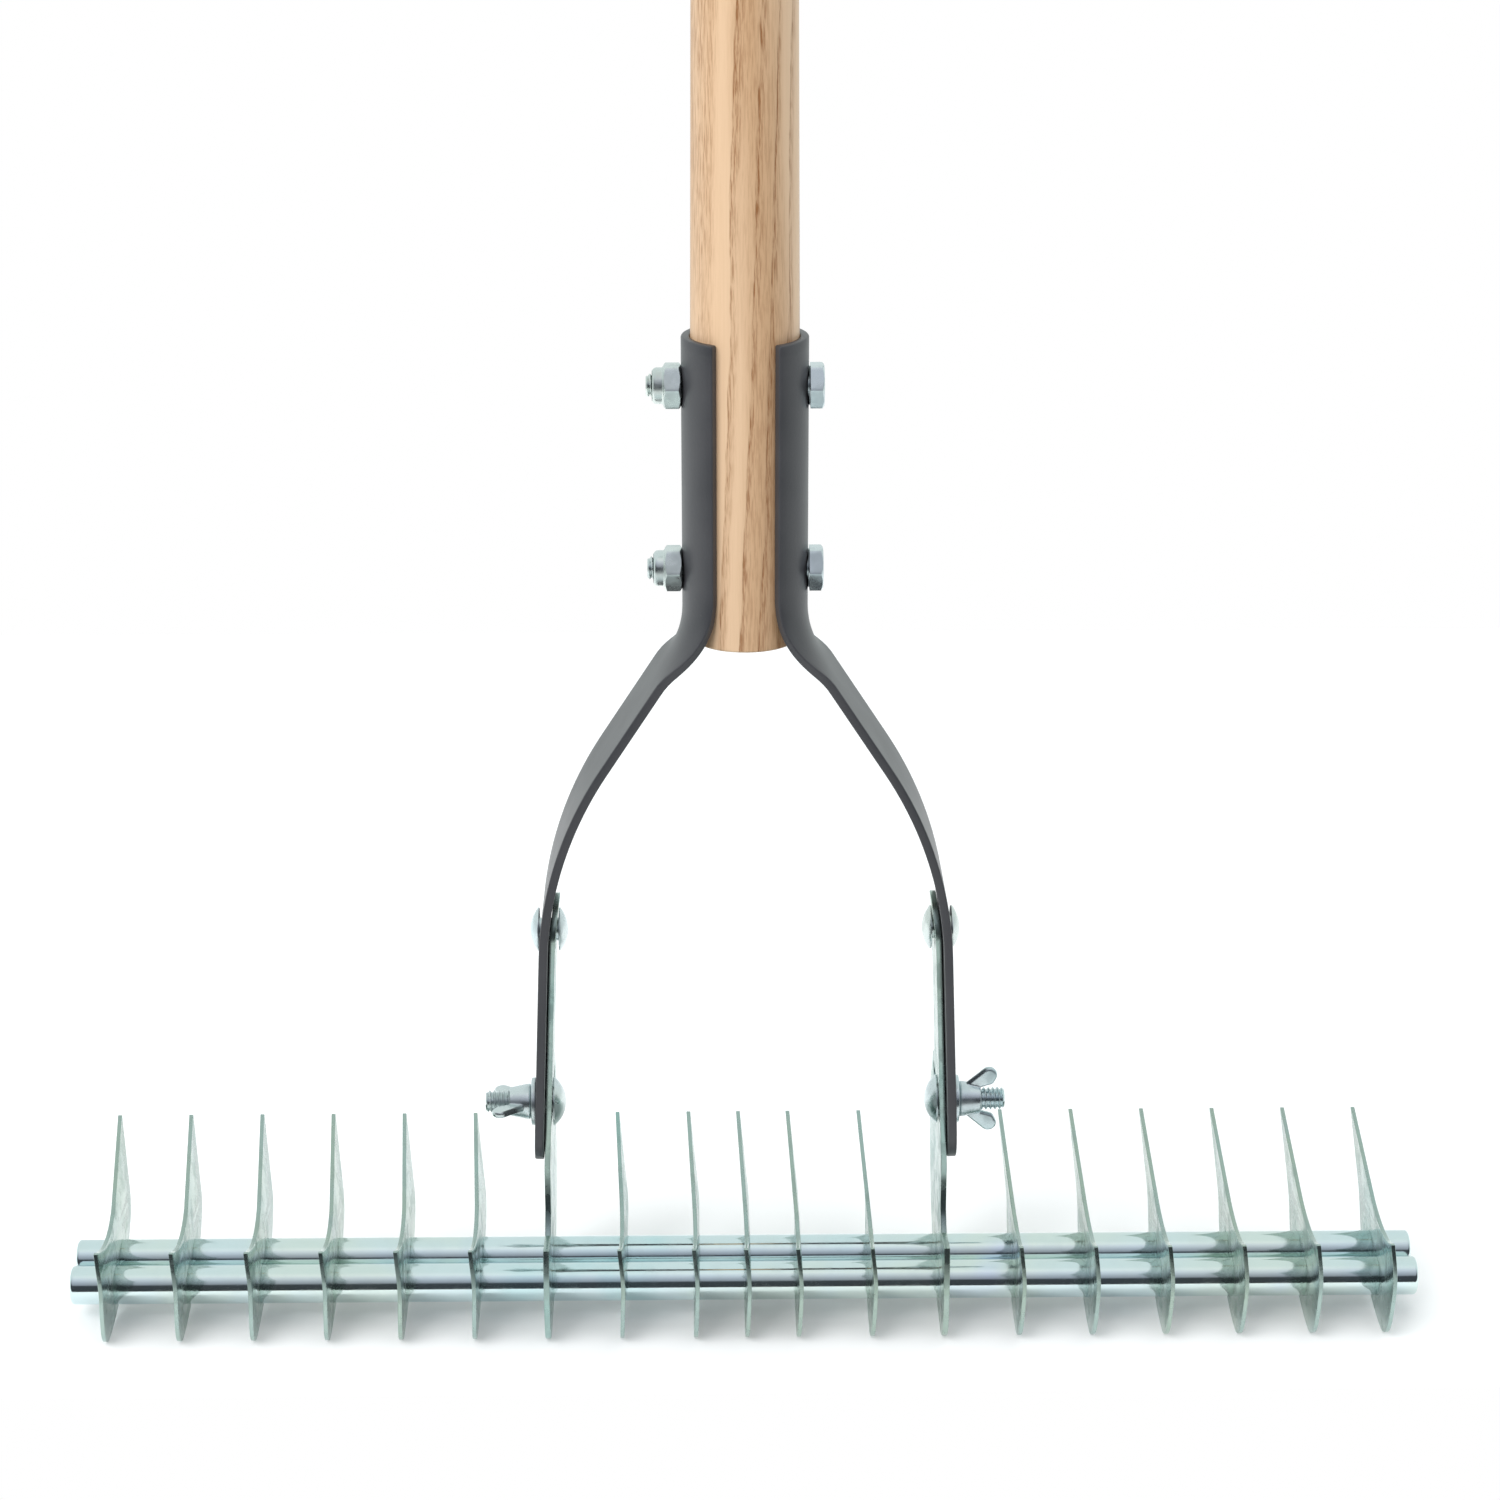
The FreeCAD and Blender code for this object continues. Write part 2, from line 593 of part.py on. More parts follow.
def arm_shape():
    """The right arm: flat strap, the stretch that curls, and the half socket."""
    half_sheet = D["arm_sheet"].value / 2
    top_z = D["socket_top_z"].value
    handle_y = D["handle_y"].value
    middle = Part.Wire(arm_line(half_sheet, top_z))
    bend_top_z = middle.Edges[3].Vertexes[1].Point.z
    length = middle.Length
    curl_high = length - (top_z - bend_top_z) + D["curl_lead"].value
    curl_low = length - (top_z - bend_top_z) - middle.Edges[3].Length - D["curl_tail"].value

    def at(distance):
        for edge in middle.Edges:
            if distance <= edge.Length + 1e-9:
                parameter = edge.getParameterByLength(distance)
                return edge.valueAt(parameter), edge.tangentAt(parameter)
            distance -= edge.Length
        return edge.valueAt(edge.LastParameter), edge.tangentAt(edge.LastParameter)

    full = 1 / (D["socket_inside"].value + half_sheet)
    wires = []
    for step in range(CURL_SECTIONS):
        share = step / (CURL_SECTIONS - 1)
        centre, along = at(curl_low + (curl_high - curl_low) * share)
        inward = Vector(-along.z, 0, along.x).normalize()
        centre.y = handle_y
        wires.append(curl_section(centre, inward, full * smooth(share)))
    curl = Part.makeLoft(wires, True, False)
    socket_low = wires[-1].Vertexes[0].Point.z
    socket = Part.Face(wires[-1]).extrude(Vector(0, 0, top_z - socket_low))

    strap = strip(arm_line(0, top_z), arm_line(2 * half_sheet, top_z), D["arm_width"].value / 2)
    centre, along = at(curl_low)
    centre.y = handle_y
    reach = D["handle_length"].value
    cutter = Part.makePlane(reach, reach, Vector(0, 0, 0), Vector(0, 0, 1))
    cutter.translate(Vector(-reach / 2, -reach / 2, 0))
    cutter = cutter.extrude(Vector(0, 0, reach))
    cutter.Placement = Placement(centre, Rotation(Vector(0, 0, 1), along)).multiply(cutter.Placement)
    strap = strap.cut(cutter)

    end_radius = D["arm_width"].value / 2
    end_z = D["arm_low_z"].value + end_radius
    depth = D["bar_length"].value
    end_round = Part.makeCylinder(end_radius, depth, Vector(0, handle_y, end_z), Vector(1, 0, 0))
    above = Part.makeBox(depth, 2 * end_radius, reach, Vector(0, handle_y - end_radius, end_z))
    strap = strap.common(end_round.fuse(above))

    arm = strap.fuse([curl, socket]).removeSplitter()
    play = D["hole_play"].value
    bolt = D["bolt_diameter"].value / 2 + play
    holes = [(D["rivet_z"].value, D["rivet_diameter"].value / 2 + D["pivot_play"].value),
             (D["rivet_z"].value - D["slot_radius"].value, bolt),
             (D["upper_bolt_z"].value, bolt), (D["lower_bolt_z"].value, bolt)]
    for z, radius in holes:
        arm = arm.cut(Part.makeCylinder(radius, depth, Vector(0, handle_y, z), Vector(1, 0, 0)))
    return arm


def add_arms():
    shape = arm_shape()
    mirrored = shape.mirror(Vector(0, 0, 0), Vector(1, 0, 0))
    for label, arm in (("right_arm", shape), ("left_arm", mirrored)):
        feature = doc.addObject("Part::Feature", label)
        feature.Label = label
        feature.Shape = arm
        finished.append(feature)


# ---------------------------------------------------------------- handle

def add_handle():
    """Turned ash, thickest in the sockets, drilled for the two bolts."""
    body = new_body("handle")
    profile = new_sketch(body, "handle_profile", "XZ_Plane")
    butt, grip = D["handle_butt"] / 2, D["handle_grip"] / 2
    taper_low = D["socket_top_z"] - D["handle_low_z"]
    corners = [
        (ZERO, ZERO),
        (butt - D["handle_chamfer"], ZERO),
        (butt, D["handle_chamfer"]),
        (butt, taper_low),
        (grip, taper_low + D["handle_taper"]),
        (grip, D["handle_length"] - D["handle_crown"]),
        (grip - D["handle_crown"], D["handle_length"]),
        (ZERO, D["handle_length"]),
    ]
    outline(profile, corners, {5: D["handle_crown"]})
    turned = spin(body, profile)
    turned.ReferenceAxis = (profile, ["V_Axis"])
    drilled = new_sketch(body, "handle_bolt_holes", "YZ_Plane")
    for z in (D["upper_bolt_z"], D["lower_bolt_z"]):
        circle(drilled, ZERO, z - D["handle_low_z"], D["bolt_diameter"] / 2 + D["hole_play"])
    pocket(body, drilled)
    place(body, ZERO, D["handle_y"], D["handle_low_z"])


# ---------------------------------------------------------------- fasteners
# Each is turned about its own X axis and points outwards along +X. The left
# ones are turned half round, so that they point outwards along -X.

def rectangle(x0, x1, r0, r1):
    return [(x0, r0), (x1, r0), (x1, r1), (x0, r1)]


def hexagon(sketch):
    """A hexagon with flats up and down, bound to the size across flats."""
    half = D["hex_flats"] / 2
    side = half * (2 / math.sqrt(3))
    corners = [(side * 0.5, half), (-(side * 0.5), half), (-side, ZERO),
               (-(side * 0.5), -half), (side * 0.5, -half), (side, ZERO)]
    outline(sketch, corners)


def bevel_hexagon(body, label, x, run):
    """Turn the corners off the end face at x. run points into the hexagon."""
    bevel = new_sketch(body, label, "XY_Plane")
    flat = D["hex_flats"] / 2
    outline(bevel, [(x, flat * BEVEL_START), (x, flat * BEVEL_REACH), (x + run * 2, flat * BEVEL_REACH)])
    spin(body, bevel, "PartDesign::Groove")


def thread_grooves(body, label, start, length):
    """Rings in place of the thread's helix: one groove, repeated at the pitch."""
    groove = new_sketch(body, label + "_groove", "XY_Plane")
    radius = D["bolt_diameter"] / 2
    half = D["thread_pitch"] * FLANK_SHARE
    outline(groove, [(start, radius - D["thread_depth"]), (start + half, radius + CUT_PLAY),
                     (start - half, radius + CUT_PLAY)])
    cut = spin(body, groove, "PartDesign::Groove")
    rings = body.newObject("PartDesign::LinearPattern", label + "_thread")
    rings.Originals = [cut]
    rings.Direction = (groove, ["H_Axis"])
    count = int(length.value / D["thread_pitch"].value)
    rings.Occurrences = count
    rings.setExpression("Length", (D["thread_pitch"] * (count - 1)).text)
    body.Tip = rings


def shank_profile(start, end):
    """A plain shank from start to end, with a bevelled tip."""
    radius, tip = D["bolt_diameter"] / 2, D["bolt_tip"]
    return [(start, ZERO), (end, ZERO), (end, radius - tip), (end - tip, radius), (start, radius)]


def socket_outside():
    return D["socket_inside"] + D["arm_sheet"]


def add_socket_bolt(label, z):
    """Hexagon bolt right through both sockets, its head on the right."""
    body = new_body(label)
    head = new_sketch(body, label + "_head", "YZ_Plane")
    hexagon(head)
    pad(body, head, D["hex_head"], reverse=True)
    face = socket_outside()
    length = face * 2 + D["nut_hex"] + D["nut_collar"] + D["bolt_proud"]
    shank = new_sketch(body, label + "_shank", "XY_Plane")
    outline(shank, shank_profile(-(D["hex_head"] / 2), length))
    spin(body, shank)
    bevel_hexagon(body, label + "_bevel", -D["hex_head"], D["hex_bevel"])
    grooves = D["thread_pitch"] * LOCK_TURNS
    thread_grooves(body, label, length - D["bolt_tip"] - grooves, grooves)
    place(body, face, D["handle_y"], z, turn=180)


def add_lock_nut(label, z):
    """Hexagon, with a turned-in collar that holds the nylon ring."""
    body = new_body(label)
    block = new_sketch(body, label + "_hexagon", "YZ_Plane")
    hexagon(block)
    pad(body, block, D["nut_hex"])
    radius = D["nut_collar_diameter"] / 2
    collar = new_sketch(body, label + "_collar", "XY_Plane")
    low, high = D["nut_hex"] / 2, D["nut_hex"] + D["nut_collar"]
    hole = D["bolt_diameter"] / 2 + D["hole_play"]
    outline(collar, [(low, hole), (high, hole), (high, radius - D["collar_round"]),
                     (high - D["collar_round"], radius), (low, radius)],
            {2: D["collar_round"]})
    spin(body, collar)
    bore = new_sketch(body, label + "_bore", "YZ_Plane")
    circle(bore, ZERO, ZERO, hole)
    pocket(body, bore)
    seat = new_sketch(body, label + "_seat", "XY_Plane")
    lip = high - D["collar_lip"]
    outline(seat, rectangle(lip - D["insert_height"] - CUT_PLAY, lip + CUT_PLAY, hole - CUT_PLAY,
                            D["insert_outside"] / 2 + CUT_PLAY))
    spin(body, seat, "PartDesign::Groove")
    bevel_hexagon(body, label + "_bevel", ZERO, D["hex_bevel"])
    bevel_hexagon(body, label + "_top_bevel", D["nut_hex"], -D["hex_bevel"])
    place(body, -socket_outside(), D["handle_y"], z, turn=180)


def add_insert(label, z):
    body = new_body(label)
    ring = new_sketch(body, label + "_ring", "XY_Plane")
    lip = D["nut_hex"] + D["nut_collar"] - D["collar_lip"]
    outline(ring, rectangle(lip - D["insert_height"], lip, D["bolt_diameter"] / 2 + D["insert_play"],
                            D["insert_outside"] / 2))
    spin(body, ring)
    place(body, -socket_outside(), D["handle_y"], z, turn=180)


def add_rivet(label, side):
    """Pivot rivet through arm and plate, domed at both ends."""
    body = new_body(label)
    head, rise, rim = D["rivet_head"] / 2, D["rivet_rise"], D["rivet_rim"]
    shank = D["rivet_diameter"] / 2
    inner = -(D["plate_sheet"] + D["plate_gap"] + D["rivet_stand"])
    outer = D["arm_sheet"] + D["rivet_seat"]
    dome = dome_radius(head, rise - rim)
    corners = [(inner - rise, ZERO), (outer + rise, ZERO), (outer + rim, head), (outer, head),
               (outer, shank), (inner, shank), (inner, head), (inner - rim, head)]
    profile = new_sketch(body, label + "_profile", "XY_Plane")
    outline(profile, corners, {1: dome, 7: dome})
    spin(body, profile)
    place_outwards(body, side, D["rivet_z"])


def dome_radius(rim, rise):
    """Radius of the sphere that rises by `rise` over a rim."""
    return (rim * rim + rise * rise) / (rise * 2)


def arm_face_x(z):
    """How far the arm's inner face is from the middle, at a height."""
    face = Part.Wire(arm_line(0, D["socket_top_z"].value))
    level = Part.makeLine(Vector(0, 0, z), Vector(D["bar_length"].value, 0, z))
    return face.distToShape(level)[1][0][0].x


def place_outwards(body, side, z):
    """Put a fastener's origin on the inner face of one arm."""
    turn = 0 if side > 0 else 180
    place(body, side * arm_face_x(z.value), D["handle_y"], z, turn=turn)


def clamp_z():
    return D["rivet_z"] - D["slot_radius"]


def add_clamp_bolt(label, side):
    """Carriage bolt: domed head inside, square neck in the plate's slot."""
    body = new_body(label)
    rim, rise = D["dome_diameter"] / 2, D["dome_rise"]
    inner = -(D["plate_sheet"] + D["plate_gap"] + D["seat_gap"])
    end = D["clamp_end_x"] - arm_face_x(clamp_z().value)
    radius, tip = D["bolt_diameter"] / 2, D["bolt_tip"]
    edge = D["rivet_rim"]
    corners = [(inner - rise, ZERO), (end, ZERO), (end, radius - tip), (end - tip, radius),
               (inner, radius), (inner, rim), (inner - edge, rim)]
    profile = new_sketch(body, label + "_profile", "XY_Plane")
    outline(profile, corners, {6: dome_radius(rim, rise - edge)})
    spin(body, profile)
    neck = new_sketch(body, label + "_neck", "YZ_Plane")
    neck.setExpression(".AttachmentOffset.Base.z", (-D["seat_gap"]).text)
    outline(neck, [(-radius, -radius), (radius, -radius), (radius, radius), (-radius, radius)])
    pad(body, neck, D["neck_length"] + D["bolt_tip"], reverse=True)
    thread_grooves(body, label, end - D["clamp_thread"], D["clamp_thread"] - tip)
    place_outwards(body, side, clamp_z())


def add_washer(label, side):
    body = new_body(label)
    ring = new_sketch(body, label + "_ring", "YZ_Plane")
    circle(ring, ZERO, ZERO, D["washer_outside"] / 2)
    circle(ring, ZERO, ZERO, D["washer_inside"] / 2)
    pad(body, ring, D["washer_sheet"])
    place(body, (D["arm_sheet"] + D["seat_gap"]).value * side + side * arm_face_x(clamp_z().value),
          D["handle_y"], clamp_z(), turn=0 if side > 0 else 180)


def add_wing_nut(label, side, turned):
    """Hub on a flange, with two rounded wings that flare outwards."""
    body = new_body(label)
    hub, flange = D["wing_hub"] / 2, D["wing_flange"] / 2
    hole = D["bolt_diameter"] / 2 + D["hole_play"]
    profile = new_sketch(body, label + "_profile", "XY_Plane")
    top, edge, base = D["wing_hub_length"], D["wing_edge"], D["wing_flange_height"]
    outline(profile, [(ZERO, hole), (top, hole), (top, hub - edge), (top - edge * 2, hub),
                      (base, flange - edge), (base / 2, flange), (ZERO, flange)])
    spin(body, profile)
    wings = new_sketch(body, label + "_wings", "XZ_Plane")
    root, length, reach, tip = D["wing_root"], D["wing_length"], D["wing_reach"], D["wing_tip_radius"]
    for way in (1, -1):
        corners = [
            (base, root * way),
            (base + D["wing_knee_rise"], D["wing_knee"] * way),
            (length - tip * TIP_OUTSIDE[0], (reach - tip * TIP_OUTSIDE[1]) * way),
            (length, (reach - tip * TIP_END) * way),
            (length - tip * TIP_INSIDE[0], (reach - tip * TIP_INSIDE[1]) * way),
            (top - edge, root * way),
        ]
        outline(wings, corners, {2: tip * -way, 3: tip * -way})
    pad(body, wings, D["wing_sheet"], symmetric=True)
    seat = (D["arm_sheet"] + D["seat_gap"] + D["washer_sheet"] + D["washer_play"]).value
    x = side * (arm_face_x(clamp_z().value) + seat)
    facing = Rotation(Vector(0, 0, 1), 0 if side > 0 else 180)
    body.Placement = Placement(Vector(x, D["handle_y"].value, clamp_z().value),
                               facing.multiply(Rotation(Vector(1, 0, 0), turned)))


# ---------------------------------------------------------------- assembly

def add_everything():
    add_handle()
    add_arms()
    for level in ("upper", "lower"):
        z = D[level + "_bolt_z"]
        add_socket_bolt(level + "_socket_bolt", z)
        add_lock_nut(level + "_lock_nut", z)
        add_insert(level + "_nylon_insert", z)
    add_bar("front_bar", D["front_bar_y"], D["front_bar_z"])
    add_bar("back_bar", D["front_bar_y"] + D["bar_step_y"], D["front_bar_z"] + D["bar_step_z"])
    add_tines()
    for name, side, wings_turned in (("left", -1, 90), ("right", 1, 0)):
        add_plate(name + "_adjuster_plate", side)
        add_rivet(name + "_rivet", side)
        add_clamp_bolt(name + "_clamp_bolt", side)
        add_washer(name + "_washer", side)
        add_wing_nut(name + "_wing_nut", side, wings_turned)


def check_and_write():
    """Stop at any failed feature, then write one STEP file per sub-part."""
    doc.recompute()
    for item in doc.Objects:
        if "Invalid" in item.State or "Error" in item.State:
            raise RuntimeError(f"{item.Label}: {item.State}")
    os.makedirs("parts", exist_ok=True)
    for part in finished:
        shape = part.Shape
        if shape.isNull() or not shape.isValid() or not shape.Solids:
            raise RuntimeError(f"{part.Label}: no valid solid")
        shape.exportStep(f"parts/{part.Label}.step")
        box = shape.BoundBox
        print(f"{part.Label:24s} {shape.Volume:10.1f} mm3  {len(shape.Solids)} solid  "
              f"x {box.XMin:8.2f} {box.XMax:8.2f}  y {box.YMin:7.2f} {box.YMax:7.2f}  "
              f"z {box.ZMin:7.2f} {box.ZMax:7.2f}")


add_everything()
check_and_write()
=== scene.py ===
"""Lawn thatch rake: zinc blades on two bars, hung in a painted steel fork on an ash handle.

Lengths are in millimetres up to the moment a mesh is made, and in metres after it.
Frame: +X along the bars, +Z up the handle, -Y the front. z = 0 is under the blades.
"""
import json
import math

import bmesh
import bpy
from mathutils import Euler, Matrix, Vector
from mathutils.geometry import tessellate_polygon

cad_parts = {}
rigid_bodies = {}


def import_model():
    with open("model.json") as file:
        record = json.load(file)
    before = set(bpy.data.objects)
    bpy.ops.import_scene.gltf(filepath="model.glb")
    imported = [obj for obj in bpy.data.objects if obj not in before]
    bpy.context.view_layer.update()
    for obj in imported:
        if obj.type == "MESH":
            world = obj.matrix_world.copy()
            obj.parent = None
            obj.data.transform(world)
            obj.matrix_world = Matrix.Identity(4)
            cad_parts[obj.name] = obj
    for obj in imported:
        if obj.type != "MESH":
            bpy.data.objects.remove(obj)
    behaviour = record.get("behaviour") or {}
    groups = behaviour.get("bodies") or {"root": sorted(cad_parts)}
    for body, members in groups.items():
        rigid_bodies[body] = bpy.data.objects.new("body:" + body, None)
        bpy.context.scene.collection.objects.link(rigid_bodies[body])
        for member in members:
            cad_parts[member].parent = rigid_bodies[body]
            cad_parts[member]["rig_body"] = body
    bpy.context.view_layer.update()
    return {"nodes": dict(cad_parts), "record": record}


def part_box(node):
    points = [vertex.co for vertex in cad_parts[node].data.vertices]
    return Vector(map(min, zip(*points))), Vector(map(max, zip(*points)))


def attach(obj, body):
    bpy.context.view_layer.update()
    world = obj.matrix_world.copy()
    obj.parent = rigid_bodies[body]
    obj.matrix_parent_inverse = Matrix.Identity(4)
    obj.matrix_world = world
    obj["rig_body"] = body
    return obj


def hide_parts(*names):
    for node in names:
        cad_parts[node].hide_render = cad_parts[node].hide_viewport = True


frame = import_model()
slot_of = {part["node"]: part["material_slot"] for part in frame["record"]["subparts"]}

MM = 0.001
X, Y, Z = Vector((1, 0, 0)), Vector((0, 1, 0)), Vector((0, 0, 1))
BAR_EDGE = 1.0

# outline of a blade, seen from +X: corners as (y, z), and the arcs between them
POINT = (28.3, 44.6)
NOTCH = (-1.0, 29.2)
BROW_BACK = (-30.6, 30.4)
BROW = (-31.7, 30.4)
TOE_FRONT = (-31.6, 6.5)
TOE = (-23.0, 0.0)
BELLY = (4.0, 5.0)
REAR = (22.3, 24.75)
POINT_LOW = (28.95, 44.15)
HOLLOW_RADIUS = 38.0
FRONT_RADIUS = 45.0
TOE_RADIUS = 8.93
BELLY_RADIUS = 75.7
REAR_RADIUS = 30.4
POINT_RADIUS = 0.5
# a blade's slight bend, seen from the front
BEND_X, BEND_Z, BLADE_BEND = 0.75, 20.0, 60.0
LEAN_BELOW, LEAN_ABOVE = math.radians(2.0), math.radians(6.0)
BEND_LOW, BEND_HIGH, BEND_CUTS = 15.6, 24.4, 9      # where a blade is cut across to bend
BLADE_SHEET = 1.15
BLADE_EDGE = 0.16

# adjuster plate
PLATE_SHEET = 1.6
PLATE_GAP = 0.3
PLATE_EDGE = 0.22
STRAP_HALF = 10.1
GUSSET_TOP = 74.2
GUSSET_KNEE = (14.5, 69.5)
GUSSET_BACK = (33.25, 51.5)
GUSSET_LOW = (33.25, 42.5)
PLATE_REAR = (31.2, 30.0)
PLATE_REAR_RADIUS = 45.0
STRAP_ROOT_Z = 34.0
STRAP_FOOT = (-18.5, 28.6)
SLOT_RADIUS = 51.9
SLOT_FRONT, SLOT_BACK = 5.5, 15.9
SLOT_HALF = 3.3
PLATE_CUTS = 80.0, 96.0, 115.0, 118.0, 121.0, 123.5      # heights where a plate can bend

# fork arms
ARM_WIDTH = 31.75
ARM_SHEET = 2.4
ARM_EDGE = 0.45
SOCKET_INSIDE = 14.35
SPLAY = math.radians(33.0)
BEND_RADIUS = 28.0
SHOULDER_RADIUS = 105.0
SHOULDER_Z = 112.0
LEAN = math.radians(2.2)
CURL_LEAD, CURL_TAIL = 4.0, 6.0

# handle
GRIP_RADIUS = 13.7
TAPER_LENGTH = 90.0
TAPER_EASE = 300.0
BUTT_EDGE, CROWN = 0.8, 9.0

# fasteners
BOLT_RADIUS = 3.175
THREAD_PITCH = 1.27
THREAD_DEPTH = 0.65
HEX_HALF = 5.55
NUT_HEX, NUT_COLLAR = 4.6, 3.0
WING_TURN = {"left": 90.0, "right": 0.0}


# ---------------------------------------------------------------- shapes

def box_of(node):
    """A CAD node's lowest and highest corner, in millimetres."""
    low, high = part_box(node)
    return low / MM, high / MM


def arc(start, end, radius, steps=12):
    """Points from start up to, but without, end. A positive radius bulges to the right."""
    start, end = Vector(start), Vector(end)
    middle = (start + end) / 2
    along = (end - start).normalized()
    left = Vector((-along.y, along.x))
    rise = math.sqrt(radius ** 2 - (start - middle).length_squared)
    centre = middle + left * math.copysign(rise, radius)
    first = start - centre
    turn = 2 * math.asin((end - start).length / (2 * abs(radius))) * math.copysign(1, radius)
    points = []
    for step in range(steps):
        angle = turn * step / steps
        points.append(centre + Vector((first.x * math.cos(angle) - first.y * math.sin(angle),
                                       first.x * math.sin(angle) + first.y * math.cos(angle))))
    return points


def straight(start, end, steps=1):
    """Points from start up to, but without, end."""
    return [Vector(start).lerp(Vector(end), step / steps) for step in range(steps)]


def rounded(corners, radii, closed=False, steps=5):
    """A line whose corners are replaced by arcs. A corner of radius 0 stays."""
    points = []
    count = len(corners)
    for index, corner in enumerate(corners):
        here, radius = Vector(corner), radii[index]
        if radius == 0 or (not closed and index in (0, count - 1)):
            points.append(here)
            continue
        back = (Vector(corners[index - 1]) - here).normalized()
        ahead = (Vector(corners[(index + 1) % count]) - here).normalized()
        half = back.angle(ahead) / 2
        centre = here + (back + ahead).normalized() * (radius / math.sin(half))
        first = here + back * (radius / math.tan(half)) - centre
        last = here + ahead * (radius / math.tan(half)) - centre
        sweep = first.angle(last)
        for step in range(steps + 1):
            share = step / steps
            points.append(centre + (first * math.sin((1 - share) * sweep)
                                    + last * math.sin(share * sweep)) / math.sin(sweep))
    return points


def circle(centre, radius, steps=48, clockwise=False):
    way = -1 if clockwise else 1
    return [Vector(centre) + Vector((math.cos(way * math.tau * k / steps),
                                     math.sin(way * math.tau * k / steps))) * radius
            for k in range(steps)]


def skin(rings, closed=False):
    """Faces over rings of equally many points, capped at both ends unless closed."""
    count = len(rings[0])
    points = [point for ring in rings for point in ring]
    faces = []
    for row in range(len(rings) if closed else len(rings) - 1):
        low, high = row * count, (row + 1) % len(rings) * count
        for k in range(count):
            after = (k + 1) % count
            faces.append((low + k, low + after, high + after, high + k))
    if not closed:
        faces.append(tuple(reversed(range(count))))
        faces.append(tuple(range(len(points) - count, len(points))))
    return points, faces


def turned(profile, base, axis, side, closed=False, steps=72, radius_at=None):
    """Rings of (along, radius) pairs round an axis. radius_at(angle, along, radius) shapes them."""
    other = axis.cross(side)
    rings = []
    for along, radius in profile:
        ring = []
        for k in range(steps):
            angle = math.tau * k / steps
            reach = radius_at(angle, along, radius) if radius_at else radius
            ring.append(base + axis * along + (side * math.cos(angle) + other * math.sin(angle)) * reach)
        rings.append(ring)
    return skin(rings, closed)


def inset(loop, distance):
    """A closed loop moved to its left, into the metal."""
    moved = []
    for index, here in enumerate(loop):
        back = (here - loop[index - 1]).normalized()
        ahead = (loop[(index + 1) % len(loop)] - here).normalized()
        normal = Vector((-(back + ahead).y, (back + ahead).x)).normalized()
        across = max(0.35, normal.dot(Vector((-ahead.y, ahead.x))))
        moved.append(here + normal * (distance / across))
    return moved


def sheet_metal(loops, thickness, edge, steps=3):
    """A flat plate in y and z, centred on x = 0, with softly rounded edges.

    The first loop is the outline, counter-clockwise; the others are holes, clockwise."""
    layers = []
    for step in range(steps + 1):
        angle = math.pi / 2 * step / steps
        layers.append((edge * (1 - math.sin(angle)), thickness / 2 - edge * (1 - math.cos(angle))))
    layers += [(depth, -x) for depth, x in reversed(layers)]
    points, faces = [], []
    caps = [[], []]
    for loop in loops:
        start = len(points)
        count = len(loop)
        for depth, x in layers:
            points += [Vector((x, p.x, p.y)) for p in inset(loop, depth)]
        for row in range(len(layers) - 1):
            low, high = start + row * count, start + (row + 1) * count
            faces += [(low + k, high + k, high + (k + 1) % count, low + (k + 1) % count)
                      for k in range(count)]
        caps[0] += range(start, start + count)
        caps[1] += range(start + (len(layers) - 1) * count, start + len(layers) * count)
    flat = [[Vector((p.x, p.y, 0)) for p in inset(loop, edge)] for loop in loops]
    for triangle in tessellate_polygon(flat):
        faces.append(tuple(caps[0][k] for k in triangle))
        faces.append(tuple(caps[1][k] for k in reversed(triangle)))
    return points, faces


def make_object(name, shape, sharp=38.0):
    """A Blender object from points and faces in millimetres, smooth but for its sharp edges."""
    points, faces = shape
    mesh = bpy.data.meshes.new(name)
    mesh.from_pydata([point * MM for point in points], [], faces)
    work = bmesh.new()
    work.from_mesh(mesh)
    bmesh.ops.remove_doubles(work, verts=work.verts, dist=1e-7)
    bmesh.ops.recalc_face_normals(work, faces=work.faces)
    work.to_mesh(mesh)
    work.free()
    mesh.shade_smooth()
    mesh.set_sharp_from_angle(angle=math.radians(sharp))
    piece = bpy.data.objects.new(name, mesh)
    bpy.context.scene.collection.objects.link(piece)
    return piece


def stand_for(piece, node):
    """The piece takes a CAD node's place, body, slot and material."""
    piece.data.materials.clear()
    piece.data.materials.append(materials[slot_of[node]])
    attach(piece, frame["nodes"][node]["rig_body"])
    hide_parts(node)


# ---------------------------------------------------------------- materials

